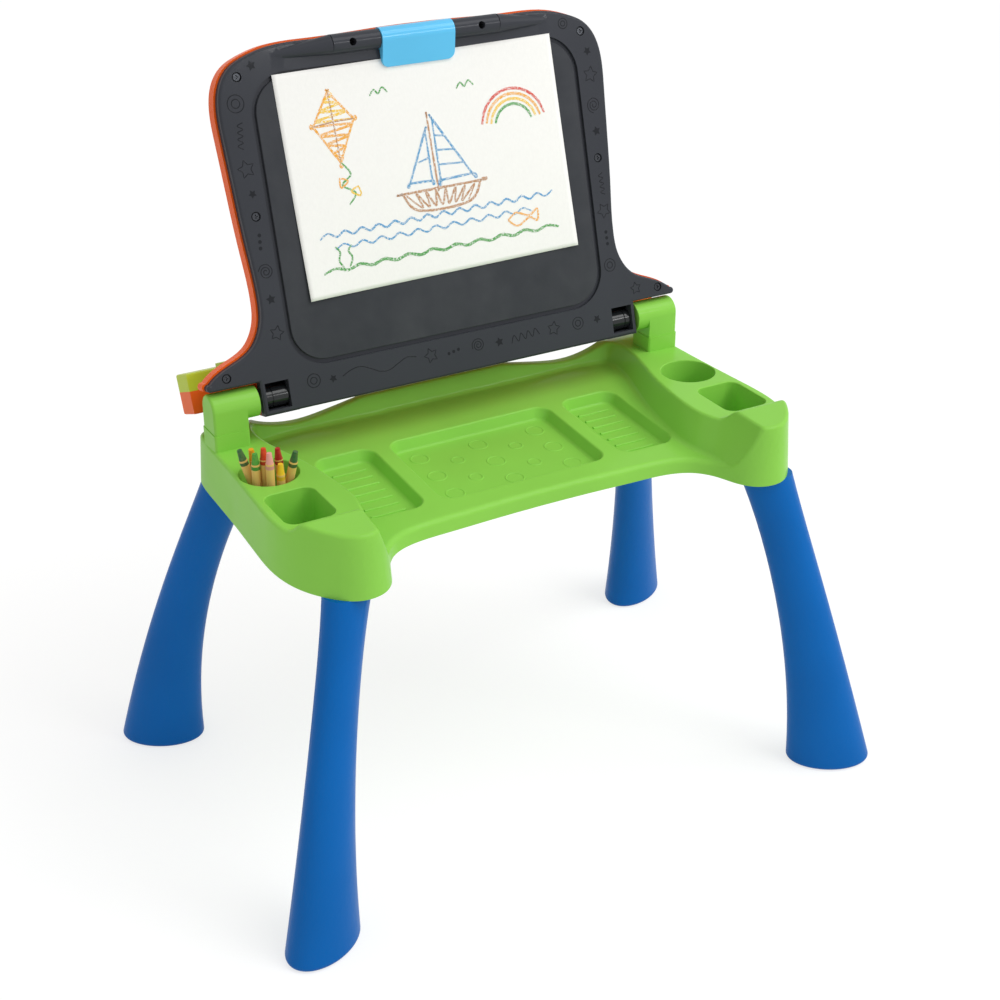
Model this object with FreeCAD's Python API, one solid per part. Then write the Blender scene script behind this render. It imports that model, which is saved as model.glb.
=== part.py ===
import FreeCAD, Part
import math
import os

from FreeCAD import Vector

# Millimetres and degrees. X runs to the right, Y to the back and Z up, with the origin on the floor
# under the middle of the table. The lid stands open, as an easel.

# Clearances that pieces share
overrun = 1.0
slide_gap = 0.3
pin_gap = 0.05
seat_gap = 0.2

# Tray: plan sizes, heights and walls
tray_half_width = 276.0
tray_front = 164.0
tray_back = 136.0
skirt_low = 328.0
arm_top = 378.4
tray_wall = 3.0
skirt_draft = 4.0
rim_round = 4.0
lip_round = 6.0
level_share = 0.8

# Right half of the skirt's plan, from its straight back round to the front centre
tray_outline_shares = [
    (0.68, 1), (0.74, 0.9995), (0.80, 0.998), (0.852, 0.991), (0.892, 0.975), (0.921, 0.948), (0.94, 0.905),
    (0.952, 0.83), (0.959, 0.70), (0.963, 0.48), (0.969, 0.15),
    (0.982, -0.244), (0.984, -0.512), (0.956, -0.72), (0.895, -0.89), (0.808, -0.997), (0.728, -0.979),
    (0.678, -0.89), (0.645, -0.756), (0.591, -0.64), (0.507, -0.582), (0.38, -0.564), (0.199, -0.552),
    (0, -0.546),
]

# Arms: the step up to the pads that carry the closed lid, and the fall behind the posts
pad_rise = 12.6
pad_back = 122.0
pad_step = 24.0
pad_fall = 2.4
arm_rear_fall = 6.0
arm_rear_start = 108.0

# Basin between the arms: plan, sloping floor and battered walls
basin_half_width = 213.0
basin_back = 126.0
basin_front = 176.0
basin_batter = 20.0
basin_round = 7.0
floor_middle = 349.0
floor_slope = 3.5

# Right half of the basin's plan at the arms' top, from its open front to the back centre
basin_shares = [
    (0.944, -1), (0.925, -0.739), (0.906, -0.591), (0.878, -0.477), (0.869, -0.33), (0.883, -0.159),
    (0.915, 0.111), (0.977, 0.492), (1, 0.73), (0.972, 0.921), (0.869, 0.992), (0.563, 1), (0, 1),
]

# Back wall's wavy top edge: share of the basin's half width and of the wave's height
wave_low = 364.5
wave_height = 17.0
wave_shares = [
    (0, 1), (0.28, 0.84), (0.455, 0.48), (0.6, 0.15), (0.704, 0), (0.826, 0.12), (0.93, 0.53), (0.985, 0.9),
]
wave_start = 100.0

# Pockets in the basin's floor
pocket_depth = 12.0
pocket_batter = 24.0
pocket_corner = 15.0
pocket_round = 4.0
pocket_rim_round = 2.5
pocket_front = 63.0
pocket_back = 59.0
centre_pocket_half = 91.0
side_pocket_inner = 107.0
side_pocket_outer = 171.0

# Raised ribs in the side pockets and raised rings in the centre pocket
rib_count = 7
rib_width = 3.0
rib_end_gap = 9.0
ring_wire_radius = 1.2
ring_sink_share = 0.55
ring_radii = [9.0, 6.5]
ring_columns = 5
ring_rows = 3
ring_field_shares = (0.72, 0.6)

# Cups in the arms
cup_x = 233.6
cup_y = 9.1
cup_radius = 28.0
cup_depth = 46.0
cup_taper = 3.6
cup_round = 5.0
cup_rim_round = 1.2
bin_inner = 211.0
bin_outer = 260.0
bin_back = -33.0
bin_front = -95.0
bin_corner = 11.0
bin_depth = 44.0
bin_taper = 4.0

# Legs: where their axes leave the tray and meet the floor, and their sections
front_leg_top = (226.0, -137.0)
front_foot = (292.5, -194.3)
rear_leg_top = (236.0, 109.0)
rear_foot = (302.0, 194.3)
front_leg_bow = 0.41
rear_leg_bow = 0.59
leg_long_radius = 23.4
leg_short_radius = 16.8
leg_collar = 3.2
leg_collar_power = 8
foot_long_radius = 44.0
foot_short_radius = 29.0
foot_turn = 29.0
foot_round = 5.0
leg_flare_power = 2.3
leg_section_count = 9
leg_wall = 3.0
leg_plug_radius = 15.0
leg_plug_length = 33.0
socket_wall = 2.5

# Screws under the tray
screw_radius = 2.0
screw_head_radius = 4.0
screw_head_height = 2.6
leg_screw_height = 22.0
post_screw_length = 16.0
post_screw_spacing = 15.0

# Hinge axis and posts
hinge_y = 85.5
hinge_z = 416.0
post_inner = 226.4
post_outer = 260.3
post_seam = 394.5
post_ledge = 0.7
post_radius = 15.0
post_round = 2.5
barrel_inner = 213.0
hinge_pin_radius = 4.5
hinge_pin_end_wall = 8.0

# Lid, described closed and level with the hinge axis at its origin and the desk top up
lid_lean_back = 15.263
lid_front = 322.0
lid_rear = 15.7
lid_half_width = 261.0
lid_notch_half = 209.5
tail_rear = 17.5
tail_round = 3.0
board_drop = 13.0
board_depth = 10.0
board_plate = 5.0
board_wall = 3.0
board_round = 2.5
desk_rise = 12.0
desk_plate = 3.0
desk_round = 2.5
shell_proud = 1.8

# Right half of the lid's plan, from its front centre to the tip of its tail
lid_outline_shares = [
    (0, 1), (0.13, 0.999), (0.383, 0.994), (0.59, 0.986), (0.659, 0.97), (0.72, 0.946), (0.761, 0.907),
    (0.782, 0.854), (0.784, 0.745), (0.774, 0.59), (0.762, 0.435), (0.751, 0.28), (0.759, 0.224),
    (0.778, 0.186), (0.816, 0.149), (0.885, 0.121), (0.946, 0.099), (0.985, 0.076),
]

# Chalkboard panel let into the frame
panel_recess_half = 175.0
panel_recess_front = 294.9
panel_recess_rear = 22.3
panel_recess_corner = 38.0
panel_recess_depth = 3.0
panel_groove = 4.5
panel_round = 0.8

# Roll along the board's top edge, and its two screw wells
roll_radius = 9.2
roll_lift = 1.0
roll_half = 150.0
roll_fade = 62.0
roll_tip_radius = 3.5
roll_tip_shift = 3.0
well_x = 68.4
well_radius = 3.6
well_depth = 15.0

# Screws in the board's face: places across and forward of the hinge
board_screw_places = [(183.3, 295.1), (186.7, 169.3), (241.2, 27.5)]
recess_radius = 4.6
recess_depth = 3.0
face_head_radius = 3.4
face_head_height = 2.0
face_screw_radius = 1.5
cross_half = 1.9
cross_width = 1.0
cross_depth = 1.2
boss_wall = 3.0
face_screw_bite = 9.0

# Hinge lugs, windows and drums
lug_inner = 174.0
window_inner = 181.5
window_outer = 205.5
window_front = 15.3
window_rear = 11.0
drum_radius = 10.2
drum_groove_depth = 0.8
drum_groove_width = 1.2
drum_groove_share = 0.68

# Paper clip and its pin
clip_half = 38.5
clip_radius = 10.2
clip_gap = 0.8
clip_reach = 27.0
clip_tip_height = 1.6
clip_corner = 7.0
clip_slope_shares = (0.42, 0.9075)
clip_pin_radius = 2.5
clip_pin_half = 52.0

# Sheet of paper under the clip
paper_width = 297.0
paper_length = 210.0
paper_thickness = 0.4
paper_top = 294.8
paper_shift = -1.5
paper_turn = -0.8

# Desk panel let into the desk top
desk_panel_half = 165.0
desk_panel_front = 300.0
desk_panel_rear = 62.0
desk_panel_corner = 24.0
desk_panel_depth = 1.5

# Control console on the desk top: it leans back and holds the electronics
console_half = 263.0
console_front_y = -34.8
console_height = 62.0
console_lean = 7.0
console_front_depth = 17.0
console_rear_depth = 22.0
console_wall = 2.5
console_round = 5.0
console_edge_round = 2.0
console_post_rise = 26.0
bezel_half = 226.0
bezel_low = 7.0
bezel_top = 56.0
bezel_corner = 12.0
bezel_rise = 3.5
control_height = 31.0

# Push buttons
button_places = {"yellow": -190.0, "pink": -154.0, "blue": -118.0, "red": -82.0}
button_radius = 14.0
button_rise = 9.0
button_dome = 6.0
button_flange = 1.6
button_flange_depth = 2.0
button_stem_radius = 4.0
button_travel = 2.5

# Speaker behind its slots
speaker_radius = 22.0
speaker_depth = 11.0
speaker_rim_depth = 2.0
speaker_magnet_share = 0.55
slot_count = 7
slot_width = 3.0
slot_pitch = 6.0
slot_end_share = 0.45

# Turning selector
knob_x = 92.0
knob_radius = 19.0
knob_rise = 13.0
knob_round = 3.0
knob_flute_count = 12
knob_flute_radius = 2.2
knob_pointer_width = 3.4
knob_pointer_height = 1.0
knob_shaft_radius = 4.0
selector_half = 9.0
selector_depth = 7.0

# Sliding switches
switch_places = {"power": 146.0, "volume": 190.0}
switch_width = 9.0
switch_height = 7.0
switch_rise = 4.0
switch_flange = 2.0
switch_flange_depth = 2.0
switch_travel = 10.0
switch_round = 1.0

# Circuit board, its posts, and the rubber keypad on it
pcb_half = 205.0
pcb_low = 7.0
pcb_top = 55.0
pcb_thickness = 1.6
pcb_front = 16.0
pcb_post_radius = 3.0
pcb_screw_radius = 1.2
pcb_screw_head_radius = 2.4
pcb_screw_head_height = 1.4
pcb_screw_bite = 8.0
pcb_post_places = [(-199.0, 11.5), (-199.0, 50.5), (199.0, 11.5), (199.0, 50.5)]
keypad_margin = 8.0
keypad_corner = 3.0
keypad_thickness = 1.0
keypad_half_height = 11.0
keypad_dome_radius = 6.0
keypad_dome_height = 1.5

# Batteries, contacts, door
cell_radius = 7.1
cell_length = 49.5
cell_count = 3
cell_nub_radius = 2.7
cell_nub_length = 1.0
cell_lift = 9.0
contact_thickness = 0.6
contact_half = 5.0
cradle_wall = 2.0
door_margin = 4.0
door_corner = 4.0
door_screw_radius = 1.4
door_screw_head_radius = 2.8
door_screw_head_height = 1.2
door_screw_margin = 5.0

# Crayons in the left cup, worn to different lengths: shares of the cup's radius at the cup's floor
# and at its rim, on axes that are turned about the cup
crayon_radius = 4.0
crayon_lengths = [74.0, 71.0, 72.0, 75.0, 69.0, 74.0, 61.0, 72.0]
crayon_tip_length = 10.5
crayon_shoulder = 0.4
crayon_tip_radius = 2.3
bunch_turn = -29.8
crayon_foot_shares = [
    (-0.21, -0.05), (-0.25, 0.29), (-0.36, -0.43), (-0.07, -0.32), (0.4, 0.25), (0.11, -0.6), (0.4, -0.4),
    (0.34, -0.06),
]
crayon_rim_shares = [
    (-0.63, -0.21), (-0.43, 0.04), (-0.35, -0.5), (-0.08, -0.34), (0.34, 0.14), (0.125, -0.62), (0.44, -0.46),
    (0.73, -0.2),
]

# Heights and places that follow from the sizes above
x_axis = Vector(1, 0, 0)
y_axis = Vector(0, 1, 0)
z_axis = Vector(0, 0, 1)
origin = Vector(0, 0, 0)
pad_top = arm_top + pad_rise
lid_face = -board_drop
lid_split = lid_face + board_depth
lid_inside = desk_rise - desk_plate
roll_y = -(lid_front - roll_radius)
roll_z = lid_face - roll_lift
cup_floor = arm_top - cup_depth
console_depth = console_front_depth + console_rear_depth
pcb_back = pcb_front + pcb_thickness


def box(x_span, y_span, z_span):
    """A block between two values on each axis."""
    size = [span[1] - span[0] for span in (x_span, y_span, z_span)]
    return Part.makeBox(size[0], size[1], size[2], Vector(x_span[0], y_span[0], z_span[0]))


def rod(radius, start, end):
    """A round bar between two points."""
    return Part.makeCylinder(radius, (end - start).Length, start, end - start)


def joined(shapes):
    """Shapes fused into one, with seams between flush faces removed."""
    whole = shapes[0].fuse(shapes[1:])
    return whole.removeSplitter()


def mirror_x(shape):
    """The same piece on the other side of the table."""
    return shape.mirror(origin, x_axis)


def both_sides(shape):
    """A piece and its mirror image."""
    return [shape, mirror_x(shape)]


def rounded_wire(x_span, y_span, corner, height):
    """A rectangle with round corners, level at a height."""
    low_x, high_x = x_span
    low_y, high_y = y_span
    corners = [
        (high_x - corner, high_y - corner, 0),
        (low_x + corner, high_y - corner, 90),
        (low_x + corner, low_y + corner, 180),
        (high_x - corner, low_y + corner, 270),
    ]
    arcs = []
    for x, y, turn in corners:
        circle = Part.Circle(Vector(x, y, height), z_axis, corner)
        arcs.append(circle.toShape(math.radians(turn), math.radians(turn + 90)))
    edges = []
    for index, arc in enumerate(arcs):
        following = arcs[(index + 1) % len(arcs)]
        edges.append(arc)
        edges.append(Part.LineSegment(arc.lastVertex().Point, following.firstVertex().Point).toShape())
    return Part.Wire(Part.__sortEdges__(edges))


def rounded_block(x_span, y_span, z_span, corner):
    """A block with round upright corners."""
    face = Part.Face(rounded_wire(x_span, y_span, corner, z_span[0]))
    return face.extrude(Vector(0, 0, z_span[1] - z_span[0]))


def grown(span, amount):
    """A span widened at both ends."""
    return (span[0] - amount, span[1] + amount)


def tub(x_span, y_span, corner, mouth, depth, batter, bottom_round):
    """The space of a tapered tub, from its mouth's height down."""
    inset = depth * math.tan(math.radians(batter))
    lip = overrun * math.tan(math.radians(batter))
    top = rounded_wire(grown(x_span, lip), grown(y_span, lip), corner + lip, mouth + overrun)
    bottom = rounded_wire(grown(x_span, -inset), grown(y_span, -inset), corner - inset, mouth - depth)
    space = Part.makeLoft([top, bottom], True, True)
    low_edges = [edge for edge in space.Edges if edge.BoundBox.ZMax < mouth - depth + overrun]
    return space.makeFillet(bottom_round, low_edges)


def tangent_curve(points, start, end):
    """A smooth curve through points, with its directions at both ends given."""
    curve = Part.BSplineCurve()
    curve.interpolate(Points=points, InitialTangent=start, FinalTangent=end)
    return curve


def open_curve(points):
    """A smooth curve from the first point to the last."""
    curve = Part.BSplineCurve()
    curve.interpolate(Points=points)
    return curve


def moved_inward(curve, points, inset, rise):
    """Points moved square to a clockwise curve, to its inside, and lifted."""
    moved = []
    for point, knot in zip(points, curve.getKnots()):
        tangent = curve.tangent(knot)[0]
        moved.append(point + Vector(tangent.y, -tangent.x, 0) * inset + Vector(0, 0, rise))
    return moved


def half_points(shares, width, front, back):
    """Points of half an outline, on the level, from its shares."""
    points = []
    for across, along in shares:
        reach = back if along > 0 else front
        points.append(Vector(across * width, along * reach, 0))
    return points


def flipped(points):
    """The points' mirror images, in the opposite order."""
    return [Vector(-point.x, point.y, point.z) for point in reversed(points)]


def skirt_block(inset, low, high):
    """The tray's outer form between two heights, with its walls drawn in by a wall's thickness."""
    right = half_points(tray_outline_shares, tray_half_width, tray_front, tray_back)
    points = right + flipped(right[:-1])
    curve = open_curve(points)
    wires = []
    for height in (low, high):
        draft = skirt_draft * (height - skirt_low) / (pad_top - skirt_low)
        edge = open_curve(moved_inward(curve, points, inset + draft, height)).toShape()
        back = Part.LineSegment(edge.lastVertex().Point, edge.firstVertex().Point).toShape()
        wires.append(Part.Wire([edge, back]))
    return Part.makeLoft(wires, True, True)


def arm_form(lower):
    """All that lies under the arms' top, which steps up to the pads, lowered by a wall's thickness."""
    reach = tray_half_width + overrun
    front = tray_front + overrun
    back = tray_back + overrun
    rear_drop = arm_rear_fall * (back - arm_rear_start) / (tray_back - arm_rear_start)
    front_drop = pad_fall * (front - pad_back) / (tray_front - pad_back)
    step_start = pad_back - pad_step
    low = skirt_low - overrun
    places = [
        (back, low), (back, arm_top - rear_drop), (arm_rear_start, arm_top), (-step_start, arm_top),
        (-pad_back, pad_top), (-front, pad_top - front_drop), (-front, low),
    ]
    points = [Vector(-reach, y, z - lower) for y, z in places]
    edges = [Part.LineSegment(start, end).toShape() for start, end in zip(points, points[1:] + points[:1])]
    fall = Vector(0, -1, -pad_fall / (tray_front - pad_back))
    half_way = (points[3] + points[4]) * 0.5
    edges[3] = tangent_curve([points[3], half_way, points[4]], -y_axis, fall).toShape()
    climb = Vector(0, points[2].y - points[1].y, 2 * rear_drop)
    edges[1] = tangent_curve([points[1], points[2]], climb, -y_axis).toShape()
    return Part.Face(Part.Wire(edges)).extrude(Vector(reach + reach, 0, 0))


def basin_block(outset, lower):
    """The space between the arms, over its sloping floor, grown and lowered by a wall's thickness."""
    right = half_points(basin_shares, basin_half_width, basin_front, basin_back)
    points = flipped(right[::-1]) + right[-2::-1]
    curve = open_curve(points)
    wires = []
    for height in (skirt_low, pad_top + pad_rise):
        spread = outset + (height - arm_top) * math.tan(math.radians(basin_batter))
        rim = open_curve(moved_inward(curve, points, -spread, height))
        edge = rim.toShape()
        chord = Part.LineSegment(edge.lastVertex().Point, edge.firstVertex().Point).toShape()
        wires.append(Part.Wire([edge, chord]))
    space = Part.makeLoft(wires, True, True)
    reach = tray_half_width + tray_front
    over_floor = box((-reach, reach), (-reach, reach), (-lower, reach))
    space = space.common(on_floor(over_floor))
    floor_reach = floor_middle + basin_round + basin_round
    floor_edges = [edge for edge in space.Edges if edge.BoundBox.ZMax < floor_reach]
    walls = [edge for edge in floor_edges if edge.BoundBox.YMax > 0]
    return space.makeFillet(basin_round, walls)


def on_floor(shape):
    """Tilts a shape made on the level onto the basin's sloping floor."""
    placed = shape.copy()
    placed.rotate(origin, x_axis, floor_slope)
    placed.translate(Vector(0, 0, floor_middle))
    return placed


def wave_cut(lower):
    """What is taken off the back wall, over its wavy top edge."""
    right = [Vector(x * basin_half_width, 0, wave_low + z * wave_height - lower) for x, z in wave_shares]
    points = flipped(right[1:]) + right
    edge = open_curve(points).toShape()
    sky = pad_top + pad_rise
    corners = [Vector(points[-1].x, 0, sky), Vector(points[0].x, 0, sky)]
    edges = [
        edge,
        Part.LineSegment(points[-1], corners[0]).toShape(),
        Part.LineSegment(corners[0], corners[1]).toShape(),
        Part.LineSegment(corners[1], points[0]).toShape(),
    ]
    face = Part.Face(Part.Wire(edges))
    face.translate(Vector(0, wave_start, 0))
    return face.extrude(Vector(0, tray_back + overrun - wave_start, 0))


def pedestal(inset, top):
    """The block on the right arm that carries a hinge post, or the hollow inside it."""
    x_span = grown((post_inner, post_outer), -inset)
    y_span = grown((hinge_y - post_radius, hinge_y + post_radius), -inset)
    low = arm_top - tray_wall - overrun
    return rounded_block(x_span, y_span, (low, top), post_round)


def pocket_spans():
    """The pockets' spans across: left, centre and right."""
    side = (side_pocket_inner, side_pocket_outer)
    return [(-side[1], -side[0]), (-centre_pocket_half, centre_pocket_half), side]


def pocket_spaces(grow):
    """The pockets' spaces in the basin's floor, grown by a wall's thickness."""
    y_span = grown((-pocket_front, pocket_back), grow)
    spaces = []
    for span in pocket_spans():
        corner = pocket_corner + grow
        space = tub(grown(span, grow), y_span, corner, 0, pocket_depth + grow, pocket_batter, pocket_round)
        spaces.append(on_floor(space))
    return spaces


def cup_space(grow):
    """The space of the right round cup."""
    radius = cup_radius + grow
    depth = cup_depth + grow
    low_radius = radius - depth * math.tan(math.radians(cup_taper))
    high_radius = radius + overrun * math.tan(math.radians(cup_taper))
    space = Part.makeCone(low_radius, high_radius, depth + overrun, Vector(cup_x, cup_y, arm_top - depth))
    low_edges = [edge for edge in space.Edges if edge.BoundBox.ZMax < arm_top - depth + overrun]
    return space.makeFillet(cup_round, low_edges)


def bin_space(grow):
    """The space of the right square cup."""
    x_span = grown((bin_inner, bin_outer), grow)
    y_span = grown((bin_front, bin_back), grow)
    return tub(x_span, y_span, bin_corner + grow, arm_top, bin_depth + grow, bin_taper, cup_round)


def leg_tops():
    """Where the legs' axes leave the tray, on the right."""
    return [front_leg_top, rear_leg_top]


def socket_bars(radius, low, high):
    """Round bars on the legs' upright plugs, on both sides."""
    bars = []
    for x, y in leg_tops():
        bars += both_sides(rod(radius, Vector(x, y, low), Vector(x, y, high)))
    return bars


def post_screw_points(height):
    """Where the right post's screws stand."""
    middle = (post_inner + post_outer) / 2
    half = post_screw_spacing / 2
    y = hinge_y - post_radius / 3
    return [Vector(middle - half, y, height), Vector(middle + half, y, height)]


def leg_screw_lines():
    """Where the right legs' locking screws start and end."""
    lines = []
    for x, y in leg_tops():
        height = skirt_low + leg_screw_height
        outside = x - leg_plug_radius - slide_gap - socket_wall
        lines.append((Vector(outside, y, height), Vector(x - leg_plug_radius / 2, y, height)))
    return lines


def rib_bars():
    """Raised ribs across the floors of the side pockets."""
    bars = []
    inset = pocket_depth * math.tan(math.radians(pocket_batter))
    length = pocket_front + pocket_back - inset - inset
    pitch = length / (rib_count + 1)
    for span in (pocket_spans()[0], pocket_spans()[2]):
        for index in range(rib_count):
            y = inset - pocket_front + pitch * (index + 1)
            start = Vector(span[0] + inset + rib_end_gap, y, -pocket_depth)
            end = Vector(span[1] - inset - rib_end_gap, y, -pocket_depth)
            bars.append(on_floor(rod(rib_width / 2, start, end)))
    return bars


def ring_bosses():
    """Raised rings on the floor of the centre pocket, in staggered rows."""
    rings = []
    reach_x = centre_pocket_half * ring_field_shares[0]
    reach_y = (pocket_front + pocket_back) / 2 * ring_field_shares[1]
    middle = (pocket_back - pocket_front) / 2
    height = -pocket_depth - ring_wire_radius * ring_sink_share
    pitch = (reach_y + reach_y) / (ring_rows - 1)
    for column in range(ring_columns):
        odd = column % 2
        for row in range(ring_rows - odd):
            x = reach_x * (2 * column / (ring_columns - 1) - 1)
            y = middle - reach_y + pitch * (row + odd / 2)
            ring = Part.makeTorus(ring_radii[odd], ring_wire_radius, Vector(x, y, height))
            rings.append(on_floor(ring))
    return rings


def rim_edges(solid, low, high):
    """Edges of upward faces whose middles lie between two heights."""
    found = []
    for edge in solid.Edges:
        middle = edge.valueAt((edge.FirstParameter + edge.LastParameter) / 2)
        if low < middle.z < high:
            upward = 0
            for face in solid.ancestorsOfType(edge, Part.Face):
                u, v = face.Surface.parameter(middle)
                upward += face.normalAt(u, v).z > level_share
            if upward == 1:
                found.append(edge)
    return found


def mouth_edges(solid):
    """The top edges of the round and square cups."""
    found = []
    for edge in solid.Edges:
        bound = edge.BoundBox
        level = bound.ZMin > arm_top - cup_rim_round and bound.ZMax < arm_top + cup_rim_round
        inside = bound.YMin > bin_front - overrun and bound.YMax < cup_y + cup_radius + overrun
        if level and inside:
            found.append(edge)
    return found


def pocket_edges(solid):
    """The top edges of the pockets in the sloping floor."""
    found = []
    for edge in solid.Edges:
        bound = edge.BoundBox
        middle = edge.valueAt((edge.FirstParameter + edge.LastParameter) / 2)
        floor = floor_middle + middle.y * math.tan(math.radians(floor_slope))
        across = bound.XMax < side_pocket_outer + overrun and bound.XMin > -side_pocket_outer - overrun
        along = bound.YMax < pocket_back + overrun and bound.YMin > -pocket_front - overrun
        if across and along and abs(middle.z - floor) < seat_gap:
            found.append(edge)
    return found


def tray_outside():
    """The tray as it looks from above, still solid underneath."""
    solid = skirt_block(0, skirt_low, pad_top + pad_rise).common(arm_form(0))
    solid = solid.cut(basin_block(0, 0)).cut(wave_cut(0))
    wall_foot = floor_middle + basin_round
    solid = solid.makeFillet(lip_round, rim_edges(solid, skirt_low + overrun, wall_foot))
    solid = solid.makeFillet(rim_round, rim_edges(solid, wall_foot, pad_top + overrun))
    solid = solid.cut(pocket_spaces(0) + both_sides(cup_space(0)) + both_sides(bin_space(0)))
    solid = solid.makeFillet(cup_rim_round, mouth_edges(solid))
    solid = solid.makeFillet(pocket_rim_round, pocket_edges(solid))
    return solid


def tray_hollow():
    """The space under the tray's walls."""
    space = skirt_block(tray_wall, skirt_low, pad_top).common(arm_form(tray_wall))
    space = space.cut(basin_block(tray_wall, tray_wall)).cut(wave_cut(tray_wall))
    keep = pocket_spaces(tray_wall) + both_sides(cup_space(tray_wall)) + both_sides(bin_space(tray_wall))
    keep += socket_bars(leg_plug_radius + slide_gap + socket_wall, skirt_low - overrun, pad_top)
    return joined([space.cut(keep)] + both_sides(pedestal(tray_wall, post_seam - tray_wall)))


def hollowed(solid, space, height):
    """A solid with a space inside that opens at the solid's level underside."""
    low = height + seat_gap
    outer = [face for face in solid.Faces if face.BoundBox.ZMax > low]
    inner = [face for face in space.Faces if face.BoundBox.ZMax > low]
    under = [face for face in solid.Faces if face.BoundBox.ZMax < low]
    mouths = [face for face in space.Faces if face.BoundBox.ZMax < low]
    shell = Part.makeShell(outer + inner + under[0].cut(mouths).Faces)
    shell.sewShape()
    return Part.makeSolid(shell)


def tray_shell():
    """The green moulded tray."""
    pedestals = both_sides(pedestal(-post_ledge, post_seam))
    solid = joined([tray_outside()] + pedestals + rib_bars() + ring_bosses())
    body = hollowed(solid, tray_hollow(), skirt_low)
    socket_top = skirt_low + leg_plug_length + slide_gap
    spaces = socket_bars(leg_plug_radius + slide_gap, skirt_low - overrun, socket_top)
    for start, end in leg_screw_lines():
        spaces += both_sides(rod(screw_radius + pin_gap, start - x_axis, end))
    for point in post_screw_points(post_seam - tray_wall):
        above = point + z_axis * (tray_wall + overrun)
        spaces += both_sides(rod(screw_radius + pin_gap, point - z_axis, above))
    return body.cut(spaces)


def leg_section(top, foot, bow, share, inset):
    """An oval of a leg, at a share of the way from the tray to the floor."""
    spread = share + bow * share * (1 - share)
    flare = share ** leg_flare_power
    collar = leg_collar * (1 - share) ** leg_collar_power - inset
    long_radius = leg_long_radius + (foot_long_radius - leg_long_radius) * flare + collar
    short_radius = leg_short_radius + (foot_short_radius - leg_short_radius) * flare + collar
    x = top[0] + (foot[0] - top[0]) * spread
    y = top[1] + (foot[1] - top[1]) * spread
    centre = Vector(x, y, skirt_low * (1 - share))
    oval = Part.Ellipse(centre, long_radius, short_radius).toShape()
    oval.rotate(centre, z_axis, math.copysign(foot_turn, foot[1]))
    return Part.Wire([oval])


def leg(top, foot, bow):
    """A hollow leg of the right side, with its plug."""
    steps = [index / (leg_section_count - 1) for index in range(leg_section_count)]
    outside = Part.makeLoft([leg_section(top, foot, bow, share, 0) for share in steps], True)
    foot_edges = [edge for edge in outside.Edges if edge.BoundBox.ZMax < overrun]
    outside = outside.makeFillet(foot_round, foot_edges)
    end_share = leg_wall / skirt_low
    inner_steps = [end_share + (1 - end_share - end_share) * share for share in steps]
    inside = Part.makeLoft([leg_section(top, foot, bow, share, leg_wall) for share in inner_steps], True)
    low = Vector(top[0], top[1], skirt_low - leg_wall)
    high = Vector(top[0], top[1], skirt_low + leg_plug_length)
    body = joined([outside, rod(leg_plug_radius, low, high)])
    bore = rod(leg_plug_radius - leg_wall, low - z_axis * leg_wall, high + z_axis)
    body = body.cut([inside, bore])
    for start, end in leg_screw_lines():
        if start.y == top[1]:
            body = body.cut(rod(screw_radius, start, end))
    return body


def screw(start, end, radius, head_radius, head_height):
    """A screw whose head sits on the start point."""
    way = (end - start).normalize()
    return joined([rod(radius, start, end), rod(head_radius, start - way * head_height, start)])


def leg_screws():
    """The locking screws of all legs."""
    screws = []
    for start, end in leg_screw_lines():
        screws += both_sides(screw(start, end, screw_radius, screw_head_radius, screw_head_height))
    return Part.makeCompound(screws)


def post_screws():
    """The screws that hold the hinge posts from below."""
    screws = []
    for start in post_screw_points(post_seam - tray_wall):
        end = start + z_axis * post_screw_length
        screws += both_sides(screw(start, end, screw_radius, screw_head_radius, screw_head_height))
    return Part.makeCompound(screws)


def on_axis(x):
    """A point of the hinge axis."""
    return Vector(x, hinge_y, hinge_z)


def hinge_post():
    """The right hinge post with its barrel."""
    y_span = (hinge_y - post_radius, hinge_y + post_radius)
    foot = box((post_inner, post_outer), y_span, (post_seam, hinge_z))
    body = joined([foot, rod(post_radius, on_axis(post_inner), on_axis(post_outer))])
    side = [edge for edge in body.Edges if edge.BoundBox.XMin > post_outer - seat_gap]
    side = [edge for edge in side if edge.BoundBox.ZMax > post_seam + seat_gap]
    body = body.makeFillet(post_round, side)
    body = joined([body, rod(post_radius, on_axis(barrel_inner), on_axis(post_inner + overrun))])
    pin_end = on_axis(post_outer - hinge_pin_end_wall)
    spaces = [rod(hinge_pin_radius + pin_gap, on_axis(barrel_inner - overrun), pin_end)]
    for point in post_screw_points(post_seam - tray_wall):
        spaces.append(rod(screw_radius + pin_gap, point, point + z_axis * (post_screw_length + overrun)))
    return body.cut(spaces)


def hinge_pin():
    """The right hinge pin."""
    return rod(hinge_pin_radius, on_axis(lug_inner), on_axis(post_outer - hinge_pin_end_wall - seat_gap))


def hinge_drum():
    """The grooved drum in the board's right window."""
    start = window_inner + slide_gap
    end = window_outer - slide_gap
    body = rod(drum_radius, on_axis(start), on_axis(end))
    body = body.cut(rod(hinge_pin_radius + pin_gap, on_axis(start - overrun), on_axis(end + overrun)))
    low = start + (end - start) * drum_groove_share
    ring = rod(drum_radius + overrun, on_axis(low), on_axis(low + drum_groove_width))
    core = rod(drum_radius - drum_groove_depth, on_axis(low), on_axis(low + drum_groove_width))
    return body.cut(ring.cut(core))


def open_lid(shape):
    """Stands a piece of the closed, level lid up in the easel's pose."""
    placed = shape.copy()
    placed.rotate(origin, x_axis, -(90 + lid_lean_back))
    placed.translate(on_axis(0))
    return placed


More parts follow.
